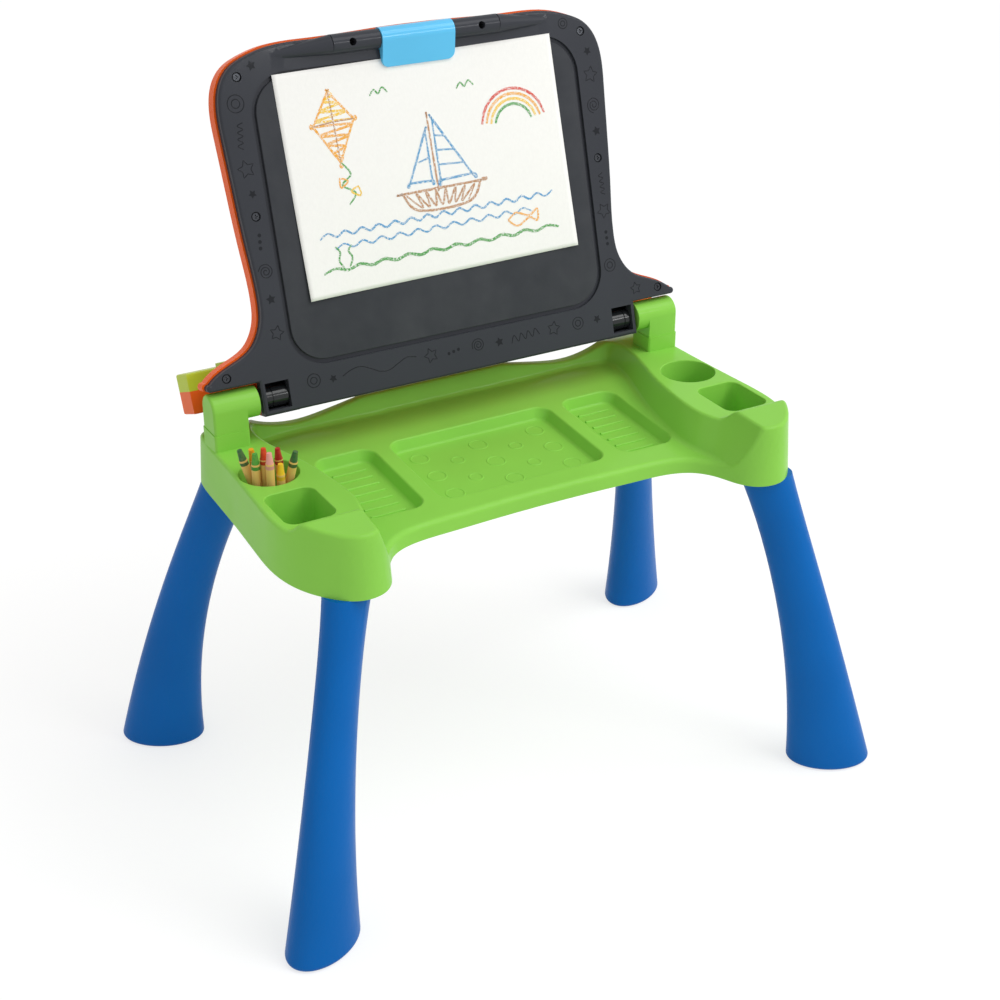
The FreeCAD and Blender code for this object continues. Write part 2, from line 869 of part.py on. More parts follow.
def lid_plan(inset):
    """The lid's plan as a face, drawn in by a wall's thickness."""
    right = [Vector(x * lid_half_width, -y * lid_front, 0) for x, y in lid_outline_shares]
    points = flipped(right[1:]) + right
    moved = moved_inward(open_curve(points), points, -inset, 0)
    within = max(inset, 0)
    corner_y = -tail_rear - within
    notch = lid_notch_half - within
    rear = lid_rear - within
    reach = lid_half_width - inset
    if inset > 0:
        moved = moved[2:-2]
        corners = [Vector(moved[-1].x, corner_y, 0)]
        edges = [Part.LineSegment(moved[-1], corners[0]).toShape()]
    else:
        corners = [Vector(reach - tail_round, corner_y, 0)]
        middle = Vector(reach, corner_y - tail_round, 0)
        edges = [Part.Arc(moved[-1], middle, corners[0]).toShape()]
    corners += [Vector(notch, corner_y, 0), Vector(notch, rear, 0)]
    edges += [Part.LineSegment(start, end).toShape() for start, end in zip(corners, corners[1:])]
    right_end = [edge.copy() for edge in edges]
    left_end = [mirror_x(edge) for edge in edges]
    across = Part.LineSegment(Vector(notch, rear, 0), Vector(-notch, rear, 0)).toShape()
    front = open_curve(moved).toShape()
    return Part.Face(Part.Wire(Part.__sortEdges__([front] + right_end + [across] + left_end)))


def lid_block(inset, low, high):
    """The lid's form between two heights."""
    face = lid_plan(inset)
    face.translate(Vector(0, 0, low))
    return face.extrude(Vector(0, 0, high - low))


def plan_rect(half, front, rear, corner, low, high):
    """A round-cornered plate across the lid, from its front reach to its rear reach."""
    return rounded_block((-half, half), (-front, -rear), (low, high), corner)


def lid_screw_seats():
    """Where the lid's screws stand, with the heights their heads sit at."""
    seats = []
    for x, y in board_screw_places:
        for side in (x, -x):
            seats.append(Vector(side, -y, lid_face + recess_depth))
    for side in (well_x, -well_x):
        seats.append(Vector(side, roll_y, roll_z - roll_radius + well_depth))
    return seats


def at_height(point, height):
    """A point moved to another height."""
    return Vector(point.x, point.y, height)


def roll_point(x):
    """A point of the roll's axis."""
    return Vector(x, roll_y, roll_z)


def roll_bar():
    """The roll along the board's top edge, which fades into the frame at its ends."""
    straight = roll_half - roll_fade
    bar = rod(roll_radius, roll_point(-straight), roll_point(straight))
    end = Vector(roll_half, roll_y + roll_tip_shift, lid_face + roll_tip_radius + slide_gap)
    way = end - roll_point(straight)
    cone = Part.makeCone(roll_radius, roll_tip_radius, way.Length, roll_point(straight), way)
    whole = joined([bar] + both_sides(cone))
    reach = lid_half_width
    return whole.cut(box((-reach, reach), (-lid_front - reach, 0), (lid_face + board_plate / 2, reach)))


def board_frame():
    """The black front shell of the lid."""
    body = lid_block(0, lid_face, lid_split)
    face_edges = [edge for edge in body.Edges if edge.BoundBox.ZMax < lid_face + seat_gap]
    body = body.makeFillet(board_round, face_edges)
    inside = lid_face + board_plate
    body = body.cut(lid_block(board_wall, inside, lid_split + overrun))
    additions = [roll_bar()]
    for seat in lid_screw_seats():
        low = at_height(seat, inside - overrun)
        additions.append(rod(face_screw_radius + boss_wall, low, at_height(seat, lid_split)))
    for span in ((lug_inner, window_inner), (window_outer, lid_notch_half)):
        lug = rod(drum_radius, Vector(span[0], 0, 0), Vector(span[1], 0, 0))
        web = box(span, (-drum_radius, drum_radius), (inside - overrun, 0))
        additions += both_sides(lug) + both_sides(web)
    wall_span = (-window_front - board_wall, lid_rear)
    frame_wall = box((lug_inner, lid_notch_half), wall_span, (lid_face + overrun, lid_split))
    additions += both_sides(frame_wall)
    body = joined([body] + additions)
    spaces = [plan_rect(panel_recess_half, panel_recess_front, panel_recess_rear, panel_recess_corner,
                        lid_face - overrun, lid_face + panel_recess_depth)]
    notch = clip_half + clip_gap
    spaces.append(rod(clip_radius + clip_gap, roll_point(-notch), roll_point(notch)))
    spaces.append(rod(clip_pin_radius + pin_gap, roll_point(-clip_pin_half), roll_point(clip_pin_half)))
    for seat in lid_screw_seats():
        head = recess_radius if seat.z == lid_face + recess_depth else well_radius
        spaces.append(rod(head, at_height(seat, roll_z - roll_radius - overrun), seat))
        spaces.append(rod(face_screw_radius + pin_gap, seat - z_axis, at_height(seat, lid_split + overrun)))
    window_heights = (lid_face - overrun, drum_radius + overrun)
    window = box((window_inner, window_outer), (-window_front, window_rear), window_heights)
    spaces += both_sides(window)
    bore_end = Vector(lid_notch_half + overrun, 0, 0)
    bore = rod(hinge_pin_radius + pin_gap, Vector(lug_inner - overrun, 0, 0), bore_end)
    spaces += both_sides(bore)
    return body.cut(spaces)


def chalkboard_panel():
    """The writing panel let into the board."""
    body = plan_rect(panel_recess_half - panel_groove, panel_recess_front - panel_groove,
                     panel_recess_rear + panel_groove, panel_recess_corner - panel_groove,
                     lid_face, lid_face + panel_recess_depth)
    edges = [edge for edge in body.Edges if edge.BoundBox.ZMax < lid_face + seat_gap]
    return body.makeFillet(panel_round, edges)


def back_shell():
    """The orange rear shell of the lid, which is the desk top when it is closed."""
    body = lid_block(-shell_proud, lid_split, desk_rise)
    top_edges = [edge for edge in body.Edges if edge.BoundBox.ZMin > desk_rise - seat_gap]
    body = body.makeFillet(desk_round, top_edges)
    body = body.cut(lid_block(board_wall, lid_split - overrun, lid_inside))
    bosses = []
    spaces = []
    for seat in lid_screw_seats():
        top = at_height(seat, lid_inside + overrun)
        bosses.append(rod(face_screw_radius + boss_wall, at_height(seat, lid_split), top))
        bite = at_height(seat, lid_split + face_screw_bite)
        spaces.append(rod(face_screw_radius, at_height(seat, lid_split - overrun), bite))
    body = joined([body] + bosses)
    start = Vector(lug_inner - slide_gap, 0, 0)
    end = Vector(lid_notch_half + overrun, 0, 0)
    spaces += both_sides(rod(drum_radius + slide_gap, start, end))
    spaces.append(plan_rect(desk_panel_half, desk_panel_front, desk_panel_rear, desk_panel_corner,
                            desk_rise - desk_panel_depth, desk_rise + overrun))
    return body.cut(spaces)


def desk_panel():
    """The pale writing panel let into the desk top."""
    return plan_rect(desk_panel_half - seat_gap, desk_panel_front - seat_gap, desk_panel_rear + seat_gap,
                     desk_panel_corner, desk_rise - desk_panel_depth, desk_rise)


def cross_recess(top):
    """The driver's cross, sunk into a screw head's top."""
    long_span = (-cross_half, cross_half)
    short_span = (-cross_width / 2, cross_width / 2)
    depth_span = (-overrun, cross_depth)
    bars = [box(long_span, short_span, depth_span), box(short_span, long_span, depth_span)]
    for bar in bars:
        bar.translate(top)
    return bars


def board_screws():
    """All screws of the lid."""
    screws = []
    for seat in lid_screw_seats():
        end = at_height(seat, lid_split + face_screw_bite - seat_gap)
        body = screw(seat, end, face_screw_radius, face_head_radius, face_head_height)
        screws.append(body.cut(cross_recess(at_height(seat, seat.z - face_head_height))))
    return Part.makeCompound(screws)


def drawing_sheet():
    """The sheet of paper under the clip."""
    x_span = (paper_shift - paper_width / 2, paper_shift + paper_width / 2)
    y_span = (-paper_top, paper_length - paper_top)
    sheet = box(x_span, y_span, (lid_face - paper_thickness, lid_face))
    sheet.rotate(Vector(paper_shift, -paper_top, 0), z_axis, paper_turn)
    return sheet


def paper_clip():
    """The sprung clip on the roll."""
    low = lid_face - paper_thickness - seat_gap
    tip_y = roll_y + clip_reach
    barrel = rod(clip_radius, roll_point(-clip_half), roll_point(clip_half))
    slope_y = roll_y + clip_radius * clip_slope_shares[0]
    slope_z = roll_z - clip_radius * clip_slope_shares[1]
    top = Vector(-clip_half, slope_y, slope_z)
    places = [
        Vector(-clip_half, roll_y, low), Vector(-clip_half, tip_y, low),
        Vector(-clip_half, tip_y, low - clip_tip_height), top, Vector(-clip_half, roll_y, top.z),
    ]
    lip = Part.Face(Part.makePolygon(places + places[:1])).extrude(Vector(clip_half + clip_half, 0, 0))
    corners = []
    for edge in lip.Edges:
        if edge.BoundBox.YMin > tip_y - seat_gap and edge.BoundBox.XLength < seat_gap:
            corners.append(edge)
    lip = lip.makeFillet(clip_corner, corners)
    body = joined([barrel, lip])
    reach = clip_half + overrun
    return body.cut(rod(clip_pin_radius + pin_gap, roll_point(-reach), roll_point(reach)))


def clip_pin():
    """The clip's pivot."""
    return rod(clip_pin_radius, roll_point(seat_gap - clip_pin_half), roll_point(clip_pin_half - seat_gap))


def upright_plate(x_span, y_span, z_span, corner):
    """A plate with round corners that stands across the console's depth."""
    plate = rounded_block(x_span, z_span, (-y_span[1], -y_span[0]), corner)
    plate.rotate(origin, x_axis, 90)
    return plate


def through(x, z, radius, start, end):
    """A round bar through the console's depth."""
    return rod(radius, Vector(x, start, z), Vector(x, end, z))


def wing_spaces(inset, y_span):
    """What is left free under the console's wings, for the hinge posts."""
    x_span = (lid_notch_half - inset, console_half + console_half)
    z_span = (-console_height, console_post_rise + inset)
    return both_sides(box(x_span, y_span, z_span))


def console_block(inset, y_span, low):
    """The console's form between two depths, drawn in by a wall's thickness."""
    x_span = (inset - console_half, console_half - inset)
    block = upright_plate(x_span, y_span, (low, console_height - inset), console_round - inset)
    return block.cut(wing_spaces(inset, grown(y_span, overrun)))


def on_desk(shape):
    """Places a piece of the console on the lid, in the easel's pose."""
    placed = shape.copy()
    placed.rotate(origin, x_axis, -console_lean)
    placed.translate(Vector(0, console_front_y, desk_rise))
    return open_lid(placed)


def desk_cut(shape):
    """A console shell without what would lie under the desk top."""
    reach = console_half + console_half
    under = box((-reach, reach), (-reach, reach), (-reach, 0))
    under.rotate(origin, x_axis, console_lean)
    return shape.cut(under)


def switch_spans(place, margin):
    """A sliding switch's spans across and up, with a margin."""
    rest = place - switch_travel / 2
    x_span = grown((rest - switch_width / 2, rest + switch_width / 2), margin)
    z_span = grown((control_height - switch_height / 2, control_height + switch_height / 2), margin)
    return x_span, z_span


def console_front():
    """The lime front shell of the console."""
    depth = (0, console_front_depth)
    body = console_block(0, depth, -console_round)
    face_edges = [edge for edge in body.Edges if edge.BoundBox.YMax < seat_gap]
    body = body.makeFillet(console_edge_round, face_edges)
    hollow_depth = (console_wall, console_front_depth + overrun)
    body = body.cut(console_block(console_wall, hollow_depth, -console_height))
    additions = []
    bezel_depth = (-bezel_rise, console_wall)
    bezel = upright_plate((-bezel_half, bezel_half), bezel_depth, (bezel_low, bezel_top), bezel_corner)
    bezel_spare = wing_spaces(bezel_low, (-bezel_rise - overrun, console_front_depth))
    additions.append(bezel.cut(bezel_spare))
    for x, z in pcb_post_places:
        additions.append(through(x, z, pcb_post_radius, console_wall - overrun, pcb_front))
    body = joined([body] + additions)
    outside = -bezel_rise - overrun
    inside = console_wall + overrun
    spaces = []
    for x in button_places.values():
        spaces.append(through(x, control_height, button_radius + slide_gap, outside, inside))
    spaces.append(through(knob_x, control_height, knob_shaft_radius + slide_gap, outside, inside))
    for place in switch_places.values():
        x_span, z_span = switch_spans(place, slide_gap)
        spaces.append(box((x_span[0], x_span[1] + switch_travel), (outside, inside), z_span))
    for index in range(slot_count):
        x = slot_pitch * (index - (slot_count - 1) / 2)
        reach = math.sqrt(speaker_radius ** 2 - x ** 2) - speaker_rim_depth
        slot = (x - slot_width / 2, x + slot_width / 2)
        z_span = (control_height - reach, control_height + reach)
        spaces.append(upright_plate(slot, (outside, inside), z_span, slot_width * slot_end_share))
    for x, z in pcb_post_places:
        spaces.append(through(x, z, pcb_screw_radius, pcb_front - pcb_screw_bite, pcb_front + overrun))
    return desk_cut(body.cut(spaces))


def cell_row():
    """Half the length of the row of cells."""
    return (cell_length + cell_nub_length) * cell_count / 2


def cell_depth():
    """The depth of the cells' axis in the console."""
    return (pcb_back + console_depth - console_wall) / 2


def door_spans(margin):
    """The battery door's spans across and up."""
    end = cell_row() + contact_thickness + cradle_wall + door_screw_margin + door_screw_margin
    low = control_height + cell_lift - cell_radius
    high = control_height + cell_lift + cell_radius
    return grown((-end, end), margin), grown((low, high), margin + door_margin)


def door_screw_place():
    """Where the battery door's screw stands."""
    return door_spans(0)[0][1] - door_screw_margin, control_height + cell_lift


def console_rear():
    """The orange rear shell of the console with the cradle for the cells."""
    depth = (console_front_depth, console_depth)
    body = console_block(0, depth, -console_round)
    back_edges = [edge for edge in body.Edges if edge.BoundBox.YMin > console_depth - seat_gap]
    body = body.makeFillet(console_edge_round, back_edges)
    inner_depth = (console_front_depth - overrun, console_depth - console_wall)
    body = body.cut(console_block(console_wall, inner_depth, -console_height))
    x_span, z_span = door_spans(slide_gap)
    additions = []
    start = pcb_back + pcb_screw_head_height + slide_gap
    end = console_depth - console_wall + overrun
    half = cell_row() + contact_thickness
    middle = control_height + cell_lift
    for side in (-1, 1):
        shelf = middle + side * (cell_radius + seat_gap + cradle_wall / 2)
        strip = (shelf - cradle_wall / 2, shelf + cradle_wall / 2)
        additions.append(box((-half, half), (start, cell_depth()), strip))
    wall = box((half, half + cradle_wall), (start, end), grown(z_span, cradle_wall))
    additions += both_sides(wall)
    x, z = door_screw_place()
    boss = through(x, z, door_screw_radius + boss_wall, start, console_depth - console_wall - slide_gap)
    additions.append(boss)
    additions.append(box((half, x), (start, cell_depth()), (z - cradle_wall / 2, z + cradle_wall / 2)))
    for side in (-1, 1):
        shelf = middle + side * (cell_radius + door_margin + slide_gap + cradle_wall / 2)
        strip = (shelf - cradle_wall / 2, shelf + cradle_wall / 2)
        additions.append(box(grown((-half, half), cradle_wall), (start, end), strip))
    door_depth = (console_depth - console_wall - slide_gap, console_depth + overrun)
    opening = upright_plate(x_span, door_depth, z_span, door_corner)
    whole = joined([body.cut(opening)] + additions)
    whole = whole.cut([opening, through(x, z, door_screw_radius, start, console_depth)])
    return desk_cut(whole)


def circuit_board():
    """The circuit board behind the controls."""
    board = box((-pcb_half, pcb_half), (pcb_front, pcb_back), (pcb_low, pcb_top))
    start = pcb_front - overrun
    end = pcb_back + overrun
    holes = [through(x, z, pcb_screw_radius + pin_gap, start, end) for x, z in pcb_post_places]
    return board.cut(holes)


def pcb_screws():
    """The screws of the circuit board."""
    screws = []
    for x, z in pcb_post_places:
        start = Vector(x, pcb_back, z)
        end = Vector(x, pcb_front - pcb_screw_bite, z)
        screws.append(screw(start, end, pcb_screw_radius, pcb_screw_head_radius, pcb_screw_head_height))
    return Part.makeCompound(screws)


def keypad():
    """The rubber sheet with a dome under each button."""
    places = list(button_places.values())
    x_span = grown((min(places), max(places)), keypad_margin)
    z_span = (control_height - keypad_half_height, control_height + keypad_half_height)
    front = pcb_front - keypad_thickness
    parts = [upright_plate(x_span, (front, pcb_front), z_span, keypad_corner)]
    for x in places:
        dome = through(x, control_height, keypad_dome_radius, front - keypad_dome_height, pcb_front)
        edges = [edge for edge in dome.Edges if edge.BoundBox.YMax < front]
        parts.append(dome.makeFillet(keypad_thickness, edges))
    return joined(parts)


def speaker():
    """The speaker behind its slots."""
    back = console_wall + speaker_depth
    rim_back = console_wall + speaker_rim_depth
    magnet = speaker_radius * speaker_magnet_share
    middle = (rim_back + back) / 2
    rim = through(0, control_height, speaker_radius, console_wall, rim_back)
    basket = Part.makeCone(speaker_radius - speaker_rim_depth, magnet, middle - rim_back,
                           Vector(0, rim_back, control_height), y_axis)
    return joined([rim, basket, through(0, control_height, magnet, middle, back)])


def selector_switch():
    """The rotary switch on the circuit board, under the knob."""
    x_span = (knob_x - selector_half, knob_x + selector_half)
    z_span = (control_height - selector_half, control_height + selector_half)
    body = upright_plate(x_span, (pcb_front - selector_depth, pcb_front), z_span, keypad_corner)
    return body.cut(through(knob_x, control_height, knob_shaft_radius + pin_gap,
                            pcb_front - selector_depth - overrun, pcb_front - overrun))


def battery_cells():
    """The cells, end to end."""
    cells = []
    pitch = cell_length + cell_nub_length
    height = control_height + cell_lift
    for index in range(cell_count):
        start = Vector(pitch * index - cell_row(), cell_depth(), height)
        can = rod(cell_radius, start, start + x_axis * cell_length)
        nub = rod(cell_nub_radius, start + x_axis * (cell_length - overrun), start + x_axis * pitch)
        cells.append(joined([can, nub]))
    return Part.makeCompound(cells)


def battery_contacts():
    """The metal plates at both ends of the cells."""
    height = control_height + cell_lift
    plate = box((cell_row(), cell_row() + contact_thickness),
                (cell_depth() - contact_half, cell_depth() + contact_half),
                (height - contact_half, height + contact_half))
    return Part.makeCompound(both_sides(plate))


def battery_door():
    """The door over the cells."""
    x_span, z_span = door_spans(0)
    plate = upright_plate(x_span, (console_depth - console_wall, console_depth), z_span, door_corner)
    x, z = door_screw_place()
    out = console_depth + overrun
    hole = through(x, z, door_screw_radius + pin_gap, console_depth - console_wall - overrun, out)
    seat = through(x, z, door_screw_head_radius + seat_gap, console_depth - door_screw_head_height, out)
    return plate.cut([hole, seat])


def battery_door_screw():
    """The screw of the battery door."""
    x, z = door_screw_place()
    start = Vector(x, console_depth - door_screw_head_height, z)
    end = Vector(x, cell_depth(), z)
    return screw(start, end, door_screw_radius, door_screw_head_radius, door_screw_head_height - seat_gap)


def button(x):
    """A push button with its flange and stem."""
    front = -bezel_rise - button_rise
    back = console_wall + seat_gap + button_flange_depth
    cap = through(x, control_height, button_radius, front, back)
    edges = [edge for edge in cap.Edges if edge.BoundBox.YMax < front + seat_gap]
    cap = cap.makeFillet(button_dome, edges)
    flange = through(x, control_height, button_radius + button_flange, console_wall + seat_gap, back)
    stem_end = pcb_front - keypad_thickness - keypad_dome_height - button_travel - slide_gap
    stem = through(x, control_height, button_stem_radius, back - overrun, stem_end)
    return joined([cap, flange, stem])


def mode_knob():
    """The turning selector with its fluted edge, pointer and shaft."""
    back = -bezel_rise - slide_gap
    front = back - knob_rise
    body = through(knob_x, control_height, knob_radius, front, back)
    edges = [edge for edge in body.Edges if edge.BoundBox.YMax < front + seat_gap]
    body = body.makeFillet(knob_round, edges)
    flutes = []
    for index in range(knob_flute_count):
        turn = math.radians(360 * (index + 0.5) / knob_flute_count)
        x = knob_x + knob_radius * math.sin(turn)
        z = control_height + knob_radius * math.cos(turn)
        flutes.append(through(x, z, knob_flute_radius, front - overrun, back + overrun))
    body = body.cut(flutes)
    half = knob_pointer_width / 2
    z_span = (control_height, control_height + knob_radius - knob_round - knob_round)
    pointer = box((knob_x - half, knob_x + half), (front - knob_pointer_height, front + overrun), z_span)
    shaft_end = pcb_front - overrun - slide_gap
    shaft = through(knob_x, control_height, knob_shaft_radius, back - overrun, shaft_end)
    return joined([body, pointer, shaft])


def sliding_switch(place):
    """A sliding switch with its flange."""
    x_span, z_span = switch_spans(place, 0)
    back = console_wall + seat_gap + switch_flange_depth
    knob = box(x_span, (-bezel_rise - switch_rise, back), z_span)
    edges = [edge for edge in knob.Edges if edge.BoundBox.YMax < seat_gap - bezel_rise - switch_rise]
    knob = knob.makeFillet(switch_round, edges)
    x_flange, z_flange = switch_spans(place, switch_flange)
    return joined([knob, box(x_flange, (console_wall + seat_gap, back), z_flange)])


def turned_in_cup(share, height):
    """A point of the left cup from its shares on the bunch's turned axes."""
    turn = math.radians(bunch_turn)
    across = share[0] * cup_radius
    away = share[1] * cup_radius
    x = across * math.cos(turn) - away * math.sin(turn) - cup_x
    y = across * math.sin(turn) + away * math.cos(turn) + cup_y
    return Vector(x, y, height)


def crayon(index):
    """A crayon that leans in the left cup."""
    foot = turned_in_cup(crayon_foot_shares[index], cup_floor)
    way = (turned_in_cup(crayon_rim_shares[index], arm_top) - foot).normalize()
    tilt = math.sqrt(way.x ** 2 + way.y ** 2)
    foot = foot + way * (crayon_radius * tilt / way.z + seat_gap)
    shoulder = foot + way * (crayon_lengths[index] - crayon_tip_length)
    body = rod(crayon_radius, foot, shoulder)
    tip = Part.makeCone(crayon_radius - crayon_shoulder, crayon_tip_radius, crayon_tip_length, shoulder, way)
    return joined([body, tip])


# All pieces, by node name
right_pieces = {
    "hinge_post": hinge_post(),
    "hinge_pin": hinge_pin(),
    "hinge_drum": hinge_drum(),
    "leg_front": leg(front_leg_top, front_foot, front_leg_bow),
    "leg_rear": leg(rear_leg_top, rear_foot, rear_leg_bow),
}
lid_pieces = {
    "board_frame": board_frame(),
    "chalkboard_panel": chalkboard_panel(),
    "back_shell": back_shell(),
    "desk_panel": desk_panel(),
    "board_screws": board_screws(),
    "drawing_sheet": drawing_sheet(),
    "paper_clip": paper_clip(),
    "clip_pin": clip_pin(),
}
console_pieces = {
    "console_front": console_front(),
    "console_rear": console_rear(),
    "circuit_board": circuit_board(),
    "pcb_screws": pcb_screws(),
    "keypad": keypad(),
    "speaker": speaker(),
    "selector_switch": selector_switch(),
    "battery_cells": battery_cells(),
    "battery_contacts": battery_contacts(),
    "battery_door": battery_door(),
    "battery_door_screw": battery_door_screw(),
    "mode_knob": mode_knob(),
}
for colour, place in button_places.items():
    console_pieces["button_" + colour] = button(place)
for use, place in switch_places.items():
    console_pieces[use + "_switch"] = sliding_switch(place)

pieces = {"tray_shell": tray_shell(), "leg_screws": leg_screws(), "post_screws": post_screws()}
for name, shape in right_pieces.items():
    pieces[name + "_right"] = shape
    pieces[name + "_left"] = mirror_x(shape)
for index in range(len(crayon_foot_shares)):
    pieces["crayon_" + str(index + 1)] = crayon(index)
for name, shape in lid_pieces.items():
    pieces[name] = open_lid(shape)
for name, shape in console_pieces.items():
    pieces[name] = on_desk(shape)

os.makedirs("parts", exist_ok=True)
for name, shape in pieces.items():
    shape.exportStep("parts/" + name + ".step")
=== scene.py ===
import math

import bpy
import numpy as np
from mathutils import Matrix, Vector


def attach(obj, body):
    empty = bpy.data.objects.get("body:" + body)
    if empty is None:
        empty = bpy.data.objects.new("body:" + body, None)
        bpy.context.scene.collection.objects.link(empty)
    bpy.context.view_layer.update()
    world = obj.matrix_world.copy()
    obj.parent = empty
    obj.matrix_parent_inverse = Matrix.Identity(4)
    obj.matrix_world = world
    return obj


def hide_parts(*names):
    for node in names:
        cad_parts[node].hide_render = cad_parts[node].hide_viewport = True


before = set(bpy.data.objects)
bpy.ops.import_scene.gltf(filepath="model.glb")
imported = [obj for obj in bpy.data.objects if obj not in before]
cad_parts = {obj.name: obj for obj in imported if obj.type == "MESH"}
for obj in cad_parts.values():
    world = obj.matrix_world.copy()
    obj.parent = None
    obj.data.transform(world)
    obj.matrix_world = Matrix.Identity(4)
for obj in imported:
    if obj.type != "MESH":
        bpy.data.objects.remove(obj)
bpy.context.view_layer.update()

bl_info = {
    "name": "Learning Table Looks",
    "version": (1, 0, 0),
    "blender": (4, 5, 0),
    "location": "View3D > Sidebar > Learning Table",
    "description": "Finishes, drawing, board ornament and studio for a child's learning table",
    "category": "Object",
}

# The lid stands open on its hinge line. The board leans back by this angle, and its face lies this
# far in front of the line.
HINGE_LINE = Vector((0.0, 0.0855, 0.416))
BOARD_LEAN = math.radians(15.263)
BOARD_FACE = 0.013

# Painted shade: the lid shell is darkened to the drums' black in two hollows round the hinge line, the hinge
# windows, between these distances from its middle.
POCKET_RADIUS = 0.0200
POCKET_INNER = 0.1730
POCKET_OUTER = 0.2090
POCKET_EDGE = 0.0002

# Widths of the slow drifts of tone and of the flow marks in moulded plastic, and how far the marks
# change its roughness.
DRIFT_WIDTH = 0.16
MARK_WIDTH = 0.035
MARK_SMOOTHER = 0.05
MARK_ROUGHER = 0.06

# Lengths from a crayon's tip to its printed band, to the strip of wrapper above it and to the bare wax.
BAND_BELOW_TIP = 0.0158
STRIP_BELOW_TIP = 0.0122
WAX_BELOW_TIP = 0.0106

# Vertices of a packed solid closer than this are one vertex.
SEAM_GAP = 0.000004

# Gaps between the layers on the board: ornament or sheet over the board, strokes over the sheet and
# each stroke over the one before.
ORNAMENT_GAP = 0.00002
SHEET_GAP = 0.00012
STROKE_GAP = 0.00006
STROKE_STEP = 0.000004
STROKE_CROWN = 0.00004

# Height of the sheet's slow ripples, and their radians for each metre across and up.
RIPPLE = 0.00035
RIPPLE_ACROSS = 31.0
RIPPLE_UP = 22.0


def shown(red, green, blue):
    """A colour given as it looks on screen, 0 to 255, turned into the linear values that shaders take."""
    channels = []
    for level in (red, green, blue):
        share = level / 255.0
        if share <= 0.04045:
            channels.append(share / 12.92)
        else:
            channels.append(((share + 0.055) / 1.055) ** 2.4)
    return tuple(channels)


def colour_of(name, about, red, green, blue):
    """A colour property with its name, description and default."""
    return bpy.props.FloatVectorProperty(
        name=name,
        description=about,
        subtype="COLOR",
        size=3,
        min=0.0,
        max=1.0,
        default=shown(red, green, blue),
    )


def length_of(name, about, metres):
    """A length property in metres."""
    return bpy.props.FloatProperty(
        name=name,
        description=about,
        default=metres,
        min=0.0,
        precision=5,
        subtype="DISTANCE",
        unit="LENGTH",
    )


def share_of(name, about, value):
    """A property between nothing and all."""
    return bpy.props.FloatProperty(
        name=name,
        description=about,
        default=value,
        min=0.0,
        max=1.0,
        subtype="FACTOR",
    )


def strength_of(name, about, level, unit="NONE"):
    """The strength of a light."""
    return bpy.props.FloatProperty(name=name, description=about, default=level, min=0.0, unit=unit)


def angle_of(name, about, degrees):
    """An angle, given in degrees."""
    return bpy.props.FloatProperty(
        name=name,
        description=about,
        default=math.radians(degrees),
        subtype="ANGLE",
        unit="ROTATION",
    )


def place_of(name, about, place):
    """A place in the scene, in metres."""
    return bpy.props.FloatVectorProperty(
        name=name,
        description=about,
        default=place,
        subtype="TRANSLATION",
        unit="LENGTH",
    )


def way_of(name, about, way):
    """A direction in the scene."""
    return bpy.props.FloatVectorProperty(name=name, description=about, default=way, subtype="DIRECTION")


class TableColours(bpy.types.PropertyGroup):
    """Colours of the moulded pieces."""

    tray: colour_of("Tray", "Green of the tray and the hinge posts", 140, 206, 80)
    legs: colour_of("Legs", "Blue of the four legs", 0, 98, 176)
    board: colour_of("Board frame", "Charcoal of the board's frame", 58, 60, 66)
    panel: colour_of("Chalk panel", "Grey of the chalk surface", 54, 56, 61)
    drums: colour_of("Hinge drums", "Black of the grooved hinge drums", 34, 36, 38)
    shell: colour_of("Lid shell", "Orange of the shell behind the board", 242, 98, 26)
    desk: colour_of("Desk panel", "Pale writing surface of the closed lid", 232, 226, 206)
    console: colour_of("Console front", "Lime of the console's front half", 190, 208, 58)
    console_back: colour_of("Console rear", "Orange of the console's rear half", 242, 104, 36)
    clip: colour_of("Paper clip", "Sky blue of the paper clip", 96, 194, 240)
    paper: colour_of("Paper", "White of the drawing sheet", 248, 247, 243)
    white: colour_of("White plastic", "White of the selector and contact carriers", 236, 236, 232)
    resin: colour_of("Circuit board", "Green resin of the circuit board", 26, 104, 58)
    rubber: colour_of("Keypad", "Grey of the rubber keypad", 140, 143, 148)
    cone: colour_of("Speaker", "Black of the speaker's cone", 32, 32, 34)
    cells: colour_of("Battery jackets", "Dark jacket of the dry cells", 58, 62, 74)
    steel: colour_of("Steel", "Zinc-plated steel of the screws and pins", 186, 188, 190)
    # Painted shade: the board's screws sit deep in recesses, and their steel is darkened to stand in for the
    # shade there.
    black_steel: colour_of("Black steel", "Shade-darkened steel of the screws in the board's face", 66, 68, 72)
    key_yellow: colour_of("Yellow button", "Yellow of the first button", 246, 204, 40)
    key_pink: colour_of("Pink button", "Pink of the second button", 232, 92, 150)
    key_blue: colour_of("Blue button", "Blue of the third button", 48, 130, 214)
    key_red: colour_of("Red button", "Red of the fourth button", 214, 48, 44)


class WaxColours(bpy.types.PropertyGroup):
    """Colours of the crayons and of what is drawn with them."""

    wrapper: colour_of("Wrapper", "Tan paper round the crayons", 236, 194, 112)
    dark_green: colour_of("Dark green", "Dark green wax", 20, 100, 60)
    green: colour_of("Green", "Green wax", 64, 156, 62)
    orange: colour_of("Orange", "Yellow-orange wax", 242, 168, 32)
    yellow: colour_of("Yellow", "Yellow wax", 246, 200, 44)
    red_orange: colour_of("Red orange", "Red-orange wax", 216, 60, 34)
    dark_red: colour_of("Dark red", "Dark red wax", 178, 28, 40)
    pink: colour_of("Pink", "Pink wax", 240, 162, 158)
    blue: colour_of("Blue", "Blue wax", 66, 152, 204)
    brown: colour_of("Brown", "Brown wax", 186, 132, 84)


